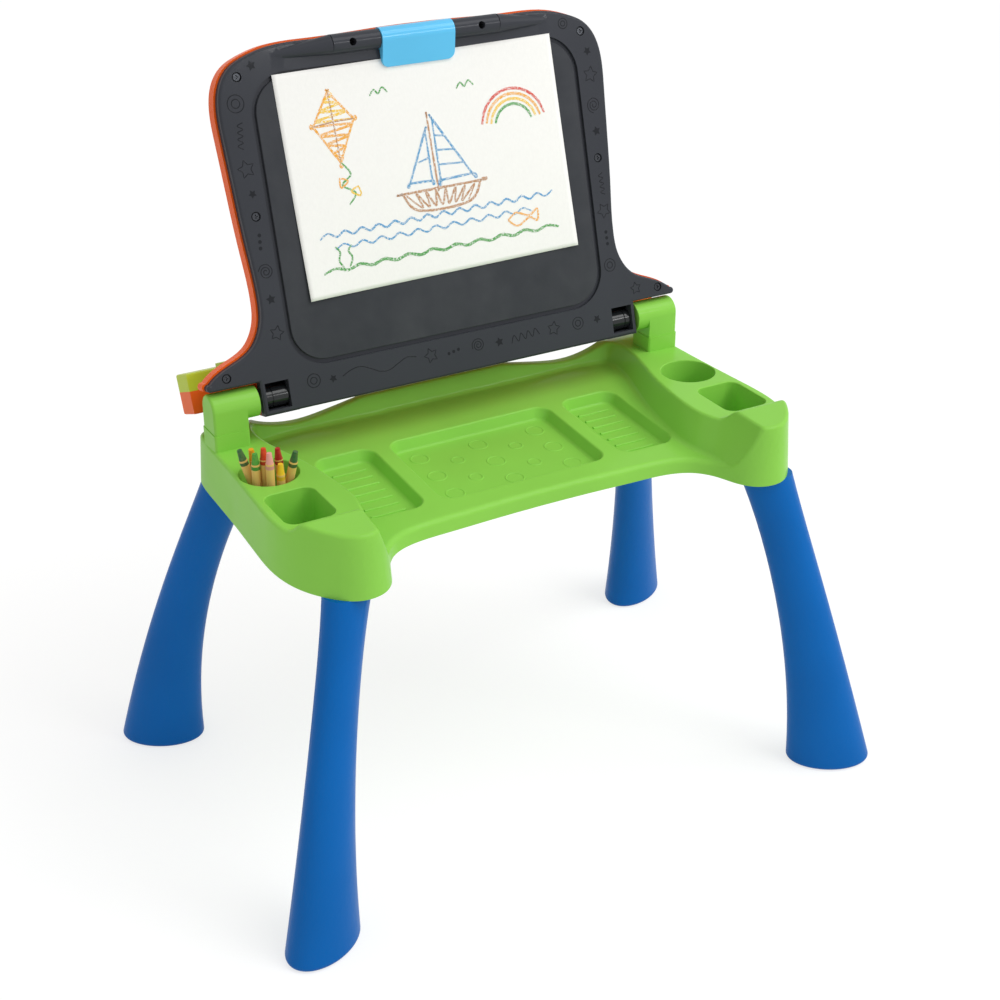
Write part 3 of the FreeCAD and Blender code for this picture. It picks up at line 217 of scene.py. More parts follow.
class FinishSettings(bpy.types.PropertyGroup):
    """How the moulded surfaces take the light."""

    satin: share_of("Satin", "Roughness of the tray and legs", 0.36)
    gloss: share_of("Gloss", "Roughness of the polished pieces", 0.2)
    matt: share_of("Matt", "Roughness of the chalk surface", 0.82)
    drift: share_of("Tone drift", "How far the colour wanders over a moulding", 0.07)
    grain: length_of("Grain", "Width of the mould's fine grain", 0.0011)
    depth: length_of("Grain depth", "Depth of the mould's fine grain", 0.00003)
    crease: angle_of("Crease angle", "Edges sharper than this stay crisp", 32.0)


class DrawingSettings(bpy.types.PropertyGroup):
    """The sheet on the board and the strokes on it."""

    width: length_of("Sheet width", "Width of the sheet", 0.297)
    height: length_of("Sheet height", "Height of the sheet", 0.210)
    side: bpy.props.FloatProperty(
        name="Sheet offset",
        description="How far the sheet's middle lies from the board's middle",
        default=-0.0015,
        subtype="DISTANCE",
        unit="LENGTH",
    )
    top: length_of("Top edge", "Height of the sheet's top edge above the hinge line, along the board", 0.2948)
    turn: angle_of("Turn", "How far the sheet is turned on the board", 0.8)
    thick: length_of("Thickness", "Thickness of the sheet", 0.00018)
    curl: length_of("Curl", "How far the lower corners lift off the board", 0.0022)
    stroke: length_of("Stroke", "Width of a plain wax stroke", 0.00208)


class OrnamentSettings(bpy.types.PropertyGroup):
    """The moulded line ornament on the board's frame."""

    line: length_of("Line width", "Width of a moulded line", 0.0010)
    relief: length_of("Relief", "Height of a moulded line", 0.00012)


class StudioSettings(bpy.types.PropertyGroup):
    """The floor, the lamps and the camera."""

    floor: length_of("Floor", "Width of the floor", 60.0)
    floor_bounce: share_of("Floor bounce", "Share of the light that the floor throws back", 0.86)
    floor_shade: share_of("Floor shade", "Share of the floor's look that the light on it makes", 0.36)
    floor_glow: share_of("Floor glow", "Even white in the floor's look", 0.7)
    key: strength_of("Key", "Strength of the soft key lamp", 0.95)
    key_spread: angle_of("Key spread", "Angle that the key lamp fills in the sky", 34.0)
    key_way: way_of("Key direction", "Where the key lamp shines", (-0.46, 0.40, -1.0))
    side: strength_of("Side", "Power of the soft lamp at the right", 2.5, "POWER")
    side_size: length_of("Side size", "Width of the round lamp at the right", 0.9)
    side_place: place_of("Side place", "Where the lamp at the right hangs", (1.25, -0.35, 1.15))
    side_aim: place_of("Side aim", "What the lamp at the right points at", (0.30, 0.0, 0.40))
    front: strength_of("Front", "Power of the soft box in front", 8.0, "POWER")
    front_width: length_of("Front width", "Width of the soft box in front", 0.9)
    front_height: length_of("Front height", "Height of the soft box in front", 0.3)
    front_place: place_of("Front place", "Where the soft box in front hangs", (0.97, -1.57, 1.45))
    front_aim: place_of("Front aim", "What the soft box in front points at", (0.0, 0.05, 0.42))
    sky: strength_of("Sky", "Level of the even light from all round", 0.61)
    lens: bpy.props.FloatProperty(
        name="Lens", description="Focal length of the camera", default=63.606, min=1.0, unit="CAMERA"
    )
    place: place_of("Camera place", "Where the camera stands", (-0.76788, -1.35029, 1.10753))
    back: way_of("Camera back", "Direction from the table to the camera", (-0.43992, -0.76864, 0.46440))


def toned(colour, share):
    """A colour made darker or lighter by a share."""
    return tuple(min(1.0, max(0.0, level * share)) for level in colour)


class Finish:
    """A material laid up node by node round one shader."""

    def __init__(self, name, roughness, metallic=0.0):
        self.material = bpy.data.materials.new(name)
        self.material.use_nodes = True
        self.tree = self.material.node_tree
        self.shader = self.tree.nodes["Principled BSDF"]
        self.shader.inputs["Roughness"].default_value = roughness
        self.shader.inputs["Metallic"].default_value = metallic
        self.place = self.node("ShaderNodeTexCoord").outputs["Object"]

    def node(self, kind, **settings):
        made = self.tree.nodes.new(kind)
        for key, value in settings.items():
            setattr(made, key, value)
        return made

    def join(self, source, target):
        self.tree.links.new(source, target)

    def noise(self, size, detail=2.0, stretch=None):
        """Noise whose blotches are about this many metres wide."""
        texture = self.node("ShaderNodeTexNoise")
        texture.inputs["Scale"].default_value = 1.0 / size
        texture.inputs["Detail"].default_value = detail
        if stretch is None:
            self.join(self.place, texture.inputs["Vector"])
        else:
            mapping = self.node("ShaderNodeMapping")
            mapping.inputs["Scale"].default_value = stretch
            self.join(self.place, mapping.inputs["Vector"])
            self.join(mapping.outputs["Vector"], texture.inputs["Vector"])
        return texture.outputs["Fac"]

    def levels(self, value, low, high, start=0.3, stop=0.7):
        """A value spread from low to high."""
        spread = self.node("ShaderNodeMapRange")
        spread.inputs["From Min"].default_value = start
        spread.inputs["From Max"].default_value = stop
        spread.inputs["To Min"].default_value = low
        spread.inputs["To Max"].default_value = high
        self.join(value, spread.inputs["Value"])
        return spread.outputs["Result"]

    def blend(self, factor, first, second):
        """Two colours, or the outputs that carry them, mixed by a factor."""
        mixer = self.node("ShaderNodeMix", data_type="RGBA")
        self.join(factor, mixer.inputs["Factor"])
        for colour, socket in ((first, mixer.inputs["A"]), (second, mixer.inputs["B"])):
            if isinstance(colour, bpy.types.NodeSocket):
                self.join(colour, socket)
            else:
                socket.default_value = (*colour, 1.0)
        return mixer.outputs["Result"]

    def bands(self, factor, stops):
        """Hard-edged bands of colour along a factor."""
        ramp = self.node("ShaderNodeValToRGB")
        ramp.color_ramp.interpolation = "CONSTANT"
        elements = ramp.color_ramp.elements
        while len(elements) < len(stops):
            elements.new(0.5)
        for element, (place, colour) in zip(elements, stops):
            element.position = place
            element.color = (*colour, 1.0)
        self.join(factor, ramp.inputs["Fac"])
        return ramp.outputs["Color"]

    def paint(self, colour):
        self.join(colour, self.shader.inputs["Base Color"])

    def rough(self, value):
        self.join(value, self.shader.inputs["Roughness"])

    def relief(self, height, depth, strength):
        bump = self.node("ShaderNodeBump")
        bump.inputs["Strength"].default_value = strength
        bump.inputs["Distance"].default_value = depth
        self.join(height, bump.inputs["Height"])
        self.join(bump.outputs["Normal"], self.shader.inputs["Normal"])

    def shine(self, specular, coat=0.0, coat_roughness=0.13):
        """How strongly the surface and its clear skin mirror the room."""
        self.shader.inputs["Specular IOR Level"].default_value = specular
        self.shader.inputs["Coat Weight"].default_value = coat
        self.shader.inputs["Coat Roughness"].default_value = coat_roughness

    def vector(self, operation, first, second):
        """The outputs of vector arithmetic on an output and a fixed vector."""
        step = self.node("ShaderNodeVectorMath", operation=operation)
        self.join(first, step.inputs[0])
        step.inputs[1].default_value = second
        return step.outputs

    def both(self, first, second):
        """Where two masks overlap."""
        product = self.node("ShaderNodeMath", operation="MULTIPLY")
        self.join(first, product.inputs[0])
        self.join(second, product.inputs[1])
        return product.outputs["Value"]

    def drifting(self, colour, drift):
        """A colour that wanders slowly to both sides by a share."""
        slow = self.levels(self.noise(DRIFT_WIDTH, 3.0), 0.0, 1.0)
        return self.blend(slow, toned(colour, 1.0 - drift), toned(colour, 1.0 + drift))

    def skin(self, roughness, settings):
        """The faint flow marks and fine grain of a moulding."""
        smooth, dull = max(0.02, roughness - MARK_SMOOTHER), min(1.0, roughness + MARK_ROUGHER)
        self.rough(self.levels(self.noise(MARK_WIDTH, 4.0), smooth, dull))
        self.relief(self.noise(settings.grain, 3.0), settings.depth, 0.6)


def moulded(name, colour, roughness, settings, drift=None, coat=0.12):
    """Moulded plastic: slow drifts of tone, faint flow marks and the mould's fine grain."""
    finish = Finish(name, roughness)
    finish.paint(finish.drifting(colour, settings.drift if drift is None else drift))
    finish.skin(roughness, settings)
    finish.shine(specular=0.04, coat=coat)
    return finish.material


def shell_plastic(name, colour, shade_colour, settings):
    """The lid shell's plastic, with painted shade: darkened to the drums' black in the hollows where the
    black hinge drums sit, standing in for the shade there.
    """
    finish = Finish(name, settings.satin)
    shifted = finish.vector("SUBTRACT", finish.place, HINGE_LINE)["Vector"]
    across = finish.vector("MULTIPLY", shifted, (0.0, 1.0, 1.0))["Vector"]
    reach = finish.node("ShaderNodeVectorMath", operation="LENGTH")
    finish.join(across, reach.inputs[0])
    normal = finish.node("ShaderNodeTexCoord").outputs["Normal"]
    forward = (0.0, -math.cos(BOARD_LEAN), math.sin(BOARD_LEAN))
    facing = finish.vector("DOT_PRODUCT", normal, forward)["Value"]
    sideways = finish.node("ShaderNodeSeparateXYZ")
    finish.join(finish.place, sideways.inputs["Vector"])
    apart = finish.node("ShaderNodeMath", operation="ABSOLUTE")
    finish.join(sideways.outputs["X"], apart.inputs[0])
    from_middle = apart.outputs["Value"]
    # Painted shade: a mask of the shell's front-facing surfaces round the hinge line inside the two hinge
    # windows, blended to the drums' black.
    pocket = finish.levels(reach.outputs["Value"], 1.0, 0.0, POCKET_RADIUS, POCKET_RADIUS + POCKET_EDGE)
    limits = (
        finish.levels(facing, 0.0, 1.0, -0.5, -0.4),
        finish.levels(from_middle, 0.0, 1.0, POCKET_INNER, POCKET_INNER + POCKET_EDGE),
        finish.levels(from_middle, 1.0, 0.0, POCKET_OUTER, POCKET_OUTER + POCKET_EDGE),
    )
    for limit in limits:
        pocket = finish.both(pocket, limit)
    finish.paint(finish.blend(pocket, finish.drifting(colour, settings.drift), shade_colour))
    finish.skin(settings.satin, settings)
    finish.shine(specular=0.05, coat=0.1, coat_roughness=0.15)
    return finish.material


def chalk_surface(name, colour, settings):
    """Matt writing surface with the grey bloom that wiped chalk leaves."""
    finish = Finish(name, settings.matt)
    wiped = finish.levels(finish.noise(0.05, 5.0, (1.0, 0.35, 0.35)), 0.0, 0.35, 0.45, 0.8)
    dusty = tuple(level + 0.035 for level in colour)
    finish.paint(finish.blend(wiped, colour, dusty))
    finish.rough(finish.levels(finish.noise(0.02, 3.0), settings.matt - 0.08, settings.matt + 0.08))
    finish.relief(finish.noise(0.0006, 2.0), 0.00004, 0.8)
    finish.shine(specular=0.3)
    return finish.material


def plated_steel(name, colour):
    """Bright plated steel with fine turning marks."""
    finish = Finish(name, 0.28, 1.0)
    tone = finish.levels(finish.noise(0.004, 3.0), 0.0, 1.0)
    finish.paint(finish.blend(tone, toned(colour, 0.86), toned(colour, 1.06)))
    finish.rough(finish.levels(finish.noise(0.0015, 2.0), 0.2, 0.38))
    finish.relief(finish.noise(0.0006, 2.0), 0.00001, 0.5)
    return finish.material


def soft_rubber(name, colour):
    """Dull rubber with a dusty bloom."""
    finish = Finish(name, 0.62)
    bloom = finish.levels(finish.noise(0.02, 4.0), 0.0, 1.0)
    finish.paint(finish.blend(bloom, toned(colour, 0.88), toned(colour, 1.12)))
    finish.rough(finish.levels(finish.noise(0.006, 3.0), 0.55, 0.7))
    finish.relief(finish.noise(0.0005, 2.0), 0.00003, 0.6)
    return finish.material


def drawing_paper(name, colour):
    """Cartridge paper with a short fibre in it."""
    finish = Finish(name, 0.9)
    fibre = finish.levels(finish.noise(0.002, 5.0, (1.0, 0.5, 0.5)), 0.0, 1.0)
    finish.paint(finish.blend(fibre, toned(colour, 0.97), colour))
    finish.rough(finish.levels(finish.noise(0.004, 2.0), 0.84, 0.95))
    finish.relief(finish.noise(0.0007, 3.0), 0.00003, 0.6)
    finish.shine(specular=0.25)
    return finish.material


def wax_stroke(name, colour, paper):
    """Wax rubbed over paper, which leaves the paper's hollows bare."""
    finish = Finish(name, 0.55)
    hollows = finish.levels(finish.noise(0.0011, 4.0), 0.0, 1.0, 0.34, 0.52)
    pressed = finish.blend(finish.levels(finish.noise(0.012, 2.0), 0.0, 1.0), toned(colour, 0.92), colour)
    finish.paint(finish.blend(hollows, toned(paper, 0.96), pressed))
    finish.rough(finish.levels(finish.noise(0.003, 2.0), 0.48, 0.66))
    finish.relief(finish.noise(0.0008, 3.0), 0.00005, 0.7)
    return finish.material


def crayon_axis(node):
    """Foot and tip of a crayon, found from its own vertices."""
    points = np.array([vertex.co for vertex in node.data.vertices])
    middle = points.mean(axis=0)
    spread, directions = np.linalg.eigh(np.cov((points - middle).T))
    axis = directions[:, int(np.argmax(spread))]
    if axis[2] < 0.0:
        axis = -axis
    along = (points - middle) @ axis
    return Vector(middle + axis * along.min()), Vector(middle + axis * along.max())


def crayon_finish(name, node, wax, wrapper):
    """A paper-wrapped crayon: bare wax at both ends, a tan wrapper with wax-coloured bands."""
    foot, tip = crayon_axis(node)
    axis = (tip - foot).normalized()
    finish = Finish(name, 0.5)
    shifted = finish.vector("SUBTRACT", finish.place, foot)["Vector"]
    along = finish.vector("DOT_PRODUCT", shifted, axis)["Value"]
    whole = (tip - foot).length
    share = finish.levels(along, 0.0, 1.0, 0.0, whole)
    printed = toned(wax, 0.8)
    stops = (
        (0.0, wax),
        (0.03, wrapper),
        (0.07, printed),
        (0.12, wrapper),
        (1.0 - BAND_BELOW_TIP / whole, printed),
        (1.0 - STRIP_BELOW_TIP / whole, wrapper),
        (1.0 - WAX_BELOW_TIP / whole, wax),
    )
    mottle = finish.levels(finish.noise(0.004, 4.0), 0.0, 0.16)
    banded = finish.bands(share, stops)
    finish.paint(finish.blend(mottle, banded, toned(wrapper, 0.8)))
    finish.rough(finish.levels(finish.noise(0.003, 3.0), 0.42, 0.62))
    finish.relief(finish.noise(0.0009, 3.0), 0.00005, 0.6)
    finish.shine(specular=0.15)
    return finish.material


def smoothed(node, crease):
    """Round surfaces shaded smooth, edges sharper than the crease angle kept crisp."""
    for face in node.data.polygons:
        face.use_smooth = True
    weld = node.modifiers.new("weld seams", "WELD")
    weld.merge_threshold = SEAM_GAP
    split = node.modifiers.new("keep creases", "EDGE_SPLIT")
    split.split_angle = crease
    split.use_edge_sharp = False
    weighted = node.modifiers.new("weigh faces", "WEIGHTED_NORMAL")
    weighted.mode = "FACE_AREA_WITH_ANGLE"
    weighted.weight = 50


def dress(names, material):
    """Gives packed solids their finish."""
    crease = bpy.context.scene.table_finish.crease
    for name in names:
        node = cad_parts[name]
        node.data.materials.clear()
        node.data.materials.append(material)
        smoothed(node, crease)


def board_point(across, up, proud):
    """A point on the standing board: across it, up from the hinge line, and proud of its face."""
    out = BOARD_FACE + proud
    lean, rise = math.sin(BOARD_LEAN), math.cos(BOARD_LEAN)
    return HINGE_LINE + Vector((across, lean * up - rise * out, rise * up + lean * out))


def softened(points, closed, steps=6):
    """A smooth line through given points."""
    count = len(points)
    line = []
    spans = count if closed else count - 1
    for index in range(spans):
        if closed:
            ring = [points[(index + shift) % count] for shift in (-1, 0, 1, 2)]
        else:
            ring = [points[min(max(index + shift, 0), count - 1)] for shift in (-1, 0, 1, 2)]
        before, start, end, after = (Vector(point) for point in ring)
        for step in range(steps):
            t = step / steps
            line.append(
                0.5
                * (
                    2.0 * start
                    + (end - before) * t
                    + (2.0 * before - 5.0 * start + 4.0 * end - after) * t * t
                    + (3.0 * start - before - 3.0 * end + after) * t * t * t
                )
            )
    line.append(Vector(points[0]) if closed else Vector(points[-1]))
    return line


def scatter(index, count):
    """A repeatable scatter between 0 and 1, for the ragged edge of a stroke."""
    spread = math.sin(index * 12.9898 + count * 78.233) * 43758.5453
    return spread - math.floor(spread)


def ribbon(vertices, faces, line, width, place, crown, taper):
    """Adds a flat or crowned ribbon along a line; place turns line points and a height into space."""
    count = len(line)
    first = len(vertices)
    for index, point in enumerate(line):
        ahead = line[min(index + 1, count - 1)] - line[max(index - 1, 0)]
        if ahead.length < 1e-9:
            ahead = Vector((1.0, 0.0))
        side = Vector((-ahead.y, ahead.x)).normalized()
        thin = 1.0
        if taper:
            end = min(index, count - 1 - index) / max(1, count - 1)
            thin = 0.62 + 0.3 * min(1.0, end * 8.0) + 0.34 * scatter(index, count)
        half = side * (width * 0.5 * thin)
        lanes = ((half, 0.0), (half * 0.5, crown * 0.8), (-half * 0.5, crown * 0.8), (-half, 0.0))
        for offset, height in lanes:
            vertices.append(place(point + offset, height))
    for index in range(count - 1):
        base = first + index * 4
        for lane in range(3):
            faces.append((base + lane, base + lane + 1, base + lane + 5, base + lane + 4))


def on_board(point, height):
    """A place on the board's face for a ribbon."""
    return board_point(point.x, point.y, height + ORNAMENT_GAP)


def fan(vertices, faces, line, height):
    """Adds a filled shape round its middle, highest there and a little proud of the board at its rim."""
    count = len(line) - 1
    centre = sum(line[:-1], Vector((0.0, 0.0))) / count
    first = len(vertices)
    vertices.append(board_point(centre.x, centre.y, height * 0.6))
    for point in line[:-1]:
        vertices.append(board_point(point.x, point.y, height * 0.4))
    for index in range(count):
        faces.append((first, first + 1 + index, first + 1 + (index + 1) % count))


def piece(name, vertices, faces, materials, indices=None):
    """A new mesh object in the scene."""
    mesh = bpy.data.meshes.new(name)
    mesh.from_pydata([tuple(vertex) for vertex in vertices], [], faces)
    for material in materials:
        mesh.materials.append(material)
    if indices is not None:
        mesh.polygons.foreach_set("material_index", indices)
    mesh.polygons.foreach_set("use_smooth", [True] * len(faces))
    mesh.validate()
    mesh.update()
    made = bpy.data.objects.new(name, mesh)
    bpy.context.scene.collection.objects.link(made)
    return made


def star(size):
    """A five-pointed star in outline."""
    points = []
    for index in range(10):
        reach = size if index % 2 == 0 else size * 0.52
        angle = math.pi * (0.5 + index / 5.0)
        points.append((reach * math.cos(angle), reach * math.sin(angle)))
    return [(points, "closed", 2)]


def solid_star(size):
    """A small five-pointed star, filled."""
    return [(points, "filled", steps) for points, _, steps in star(size)]


def ring(size):
    """Two rings, one inside the other."""
    lines = []
    for reach in (size, size * 0.5):
        turns = [k * math.pi / 6.0 for k in range(12)]
        points = [(reach * math.cos(turn), reach * math.sin(turn)) for turn in turns]
        lines.append((points, "closed", 4))
    return lines


def wiggle(size):
    """A run of small waves."""
    points = [(size * (k - 4) / 4.0, size * 0.22 * (1 if k % 2 else -1)) for k in range(9)]
    return [(points, "open", 6)]


def long_wave(size):
    """A long slack line."""
    heights = (-0.02, 0.09, 0.12, 0.02, -0.1, -0.11, 0.0, 0.1, 0.06)
    points = [(size * (k - 4) / 4.0, size * height) for k, height in enumerate(heights)]
    return [(points, "open", 8)]


def coil(size):
    """A spiral line."""
    points = []
    for k in range(22):
        reach = size * (0.14 + 0.86 * k / 21.0)
        points.append((reach * math.cos(k * 0.72), reach * math.sin(k * 0.72)))
    return [(points, "open", 5)]


def three_dots(size):
    """Three filled dots in a row."""
    dots = []
    reach = size * 0.3
    turns = [k * math.pi / 4.0 for k in range(8)]
    for middle in (-size, 0.0, size):
        points = [(middle + reach * math.cos(turn), reach * math.sin(turn)) for turn in turns]
        dots.append((points, "filled", 3))
    return dots


# Ornament on the board's frame: kind, across, up, size and turn.
ORNAMENT = (
    (solid_star, -0.168, 0.3035, 0.0050, 0.3),
    (ring, -0.1885, 0.272, 0.0080, 0.0),
    (wiggle, -0.1890, 0.243, 0.0120, 1.45),
    (star, -0.1885, 0.213, 0.0085, 0.2),
    (solid_star, -0.1865, 0.190, 0.0042, 0.5),
    (three_dots, -0.1870, 0.146, 0.0060, 1.5),
    (coil, -0.1860, 0.118, 0.0075, 0.4),
    (solid_star, -0.1855, 0.092, 0.0050, 0.1),
    (star, -0.1850, 0.060, 0.0072, -0.3),
    (ring, -0.1560, 0.0085, 0.0066, 0.0),
    (solid_star, -0.1360, 0.0065, 0.0042, 0.4),
    (long_wave, -0.0860, 0.0075, 0.0400, 0.0),
    (star, -0.0300, 0.0080, 0.0076, 0.3),
    (three_dots, -0.0050, 0.0070, 0.0056, 0.2),
    (coil, 0.0230, 0.0080, 0.0072, 1.0),
    (solid_star, 0.0470, 0.0065, 0.0050, 0.2),
    (wiggle, 0.0770, 0.0075, 0.0165, 0.1),
    (star, 0.1110, 0.0080, 0.0074, -0.2),
    (ring, 0.1400, 0.0080, 0.0062, 0.0),
    (solid_star, 0.1630, 0.0080, 0.0046, 0.6),
    (star, 0.2140, 0.0310, 0.0064, 0.1),
    (ring, 0.1860, 0.0600, 0.0064, 0.0),
    (three_dots, 0.1860, 0.088, 0.0060, 1.6),
    (star, 0.1865, 0.116, 0.0080, 0.5),
    (wiggle, 0.1875, 0.143, 0.0110, 1.6),
    (solid_star, 0.1885, 0.196, 0.0050, 0.2),
    (coil, 0.1890, 0.222, 0.0080, 2.0),
    (star, 0.1890, 0.252, 0.0082, -0.2),
    (solid_star, 0.1885, 0.275, 0.0046, 0.5),
    (ring, 0.1640, 0.3045, 0.0050, 0.0),
)


def sheet_lift(across, up, settings):
    """How far the sheet stands off the board: flat under the clip, lifting to its lower corners."""
    side = abs(across) / (settings.width * 0.5)
    low = 1.0 - up / settings.height
    bow = settings.curl * (0.35 * side ** 2 + 0.65 * side ** 4) * low ** 3
    swell = math.sin(across * RIPPLE_ACROSS + 1.0) * math.cos(up * RIPPLE_UP)
    return SHEET_GAP + bow + RIPPLE * low * (1.0 + swell)


def sheet_point(across, up, proud, settings):
    """A point of the sheet, across from its middle and up from its lower edge."""
    turn = settings.turn
    down = up - settings.height
    x = across * math.cos(turn) - down * math.sin(turn)
    y = across * math.sin(turn) + down * math.cos(turn)
    lift = sheet_lift(across, up, settings) + proud
    return board_point(settings.side + x, settings.top + y, lift)


def hatch(first, second, strokes):
    """A zigzag that fills the space between two edges."""
    points = []
    for index in range(strokes + 1):
        t = index / strokes
        start, end = first if index % 2 == 0 else second
        points.append((start[0] + (end[0] - start[0]) * t, start[1] + (end[1] - start[1]) * t))
    return points


def arch(middle, reach, start, stop, count=9):
    """A round arch of points."""
    points = []
    for index in range(count):
        angle = math.radians(start + (stop - start) * index / (count - 1))
        points.append((middle[0] + reach * math.cos(angle), middle[1] + reach * math.sin(angle)))
    return points


def waves(left, right, height, swell, count):
    """A line of water."""
    points = []
    for index in range(count):
        t = index / (count - 1)
        points.append((left + (right - left) * t, height + swell * (1 if index % 2 else -1)))
    return points


def drawing_strokes():
    """A child's drawing as wax strokes in millimetres: kite, boat, arch of colours, water and fish."""
    top, right, low, left = (52, 188), (74, 160), (54, 122), (32, 158)
    hull = [(112, 82), (112, 82), (198, 82), (198, 82), (182, 64), (128, 64), (112, 82), (112, 82)]
    fish = [(222, 38), (232, 44), (246, 39), (256, 44), (255, 33), (246, 37), (232, 31), (222, 38)]
    return [
        ("yellow", hatch((top, left), (top, right), 7), 1.1),
        ("orange", hatch((left, low), (right, low), 8), 1.1),
        ("orange", [top, top, right, right, low, low, left, left, top, top], 1.0),
        ("brown", [top, (53, 158), low], 0.7),
        ("brown", [left, (54, 160), right], 0.7),
        ("green", [low, (62, 110), (52, 101), (64, 92), (56, 82)], 0.8),
        ("orange", [(50, 108), (58, 104), (50, 99), (50, 108)], 0.8),
        ("yellow", [(68, 98), (60, 94), (69, 89), (68, 98)], 0.8),
        ("brown", [(150, 150), (150, 150), (151, 84), (151, 84)], 0.9),
        ("blue", [(155, 148), (155, 148), (190, 90), (190, 90), (155, 89), (155, 89), (155, 148)], 1.0),
        ("blue", [(155, 132), (166, 130)], 0.8),
        ("blue", [(155, 118), (174, 116)], 0.8),
        ("blue", [(155, 104), (182, 102)], 0.8),
        ("blue", [(146, 138), (146, 138), (122, 91), (122, 91), (146, 90), (146, 90), (146, 138)], 1.0),
        ("blue", [(146, 112), (134, 109)], 0.8),
        ("brown", hull, 1.1),
        ("brown", hatch(((116, 80), (196, 80)), ((128, 66), (182, 66)), 15), 0.9),
        ("red_orange", arch((244, 128), 36, 12, 170), 1.2),
        ("orange", arch((244, 128), 31, 12, 168), 1.2),
        ("yellow", arch((244, 128), 26, 14, 168), 1.2),
        ("green", arch((244, 128), 21, 14, 166), 1.2),
        ("blue", waves(20, 276, 57, 2.2, 30), 0.9),
        ("blue", waves(34, 250, 45, 2.2, 23), 0.8),
        ("green", waves(18, 278, 24, 1.6, 21), 1.3),
        ("green", [(40, 25), (36, 32), (38, 40), (34, 46)], 0.8),
        ("green", [(46, 25), (50, 33), (47, 40), (51, 45)], 0.8),
        ("orange", fish, 0.9),
        ("green", [(94, 178), (99, 183), (103, 179), (108, 184), (113, 179)], 0.7),
        ("green", [(186, 172), (191, 177), (195, 173), (200, 178), (205, 173)], 0.7),
    ]


class LEARNINGTABLE_OT_tray(bpy.types.Operator):
    """Finish the tray and the hinge posts in satin green"""

    bl_idname = "learning_table.tray"
    bl_label = "Tray and Hinge Posts"

    def execute(self, context):
        scene = context.scene
        finish = scene.table_finish
        green = moulded("green_plastic", scene.table_colours.tray, finish.satin, finish, coat=0.15)
        dress(("tray_shell", "hinge_post_left", "hinge_post_right"), green)
        return {"FINISHED"}


class LEARNINGTABLE_OT_legs(bpy.types.Operator):
    """Finish the four legs in satin blue"""

    bl_idname = "learning_table.legs"
    bl_label = "Legs"

    def execute(self, context):
        scene = context.scene
        finish = scene.table_finish
        blue = moulded("blue_plastic", scene.table_colours.legs, finish.satin, finish, coat=0.15)
        names = ("leg_front_left", "leg_front_right", "leg_rear_left", "leg_rear_right")
        dress(names, blue)
        return {"FINISHED"}


class LEARNINGTABLE_OT_board(bpy.types.Operator):
    """Finish the board's frame, chalk panel and hinge drums"""

    bl_idname = "learning_table.board"
    bl_label = "Board"

    def execute(self, context):
        scene = context.scene
        colours, finish = scene.table_colours, scene.table_finish
        dress(("board_frame",), moulded("board_charcoal", colours.board, 0.46, finish, coat=0.2))
        dress(("chalkboard_panel",), chalk_surface("chalk_surface", colours.panel, finish))
        black = moulded("drum_black", colours.drums, finish.gloss, finish, coat=0.6)
        dress(("hinge_drum_left", "hinge_drum_right"), black)
        return {"FINISHED"}


class LEARNINGTABLE_OT_ornament(bpy.types.Operator):
    """Mould the line ornament on the board's frame, darkened as painted groove shade"""

    bl_idname = "learning_table.ornament"
    bl_label = "Board Ornament"

    def execute(self, context):
        scene = context.scene
        settings, finish = scene.table_ornament, scene.table_finish
        # Painted shade: the ornament's lines are darkened well below the frame's charcoal to stand in for the
        # shade in debossed grooves.
        dark = moulded("ornament_charcoal", toned(scene.table_colours.board, 0.45), 0.4, finish)
        vertices, faces = [], []
        for motif, across, up, size, turn in ORNAMENT:
            lean, level = math.sin(turn), math.cos(turn)
            for points, kind, steps in motif(size):
                turned = [(across + x * level - y * lean, up + x * lean + y * level) for x, y in points]
                line = softened(turned, kind != "open", steps)
                if kind == "filled":
                    fan(vertices, faces, line, settings.relief)
                else:
                    ribbon(vertices, faces, line, settings.line, on_board, settings.relief, False)
        made = piece("board_ornament", vertices, faces, [dark])
        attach(made, "lid")
        return {"FINISHED"}


class LEARNINGTABLE_OT_lid(bpy.types.Operator):
    """Finish the lid's shell and the desk panel under it"""

    bl_idname = "learning_table.lid"
    bl_label = "Lid Shell and Desk"

    def execute(self, context):
        scene = context.scene
        colours, finish = scene.table_colours, scene.table_finish
        # The shell gets painted shade, in the drums' black, round the hinge drums.
        dress(("back_shell",), shell_plastic("orange_plastic", colours.shell, colours.drums, finish))
        dress(("desk_panel",), moulded("desk_surface", colours.desk, 0.42, finish, 0.02))
        return {"FINISHED"}


class LEARNINGTABLE_OT_clip(bpy.types.Operator):
    """Finish the sprung paper clip and its pin"""

    bl_idname = "learning_table.clip"
    bl_label = "Paper Clip"

    def execute(self, context):
        scene = context.scene
        colours, finish = scene.table_colours, scene.table_finish
        dress(("paper_clip",), moulded("sky_plastic", colours.clip, finish.gloss, finish, coat=0.4))
        dress(("clip_pin",), plated_steel("pin_steel", colours.steel))
        return {"FINISHED"}


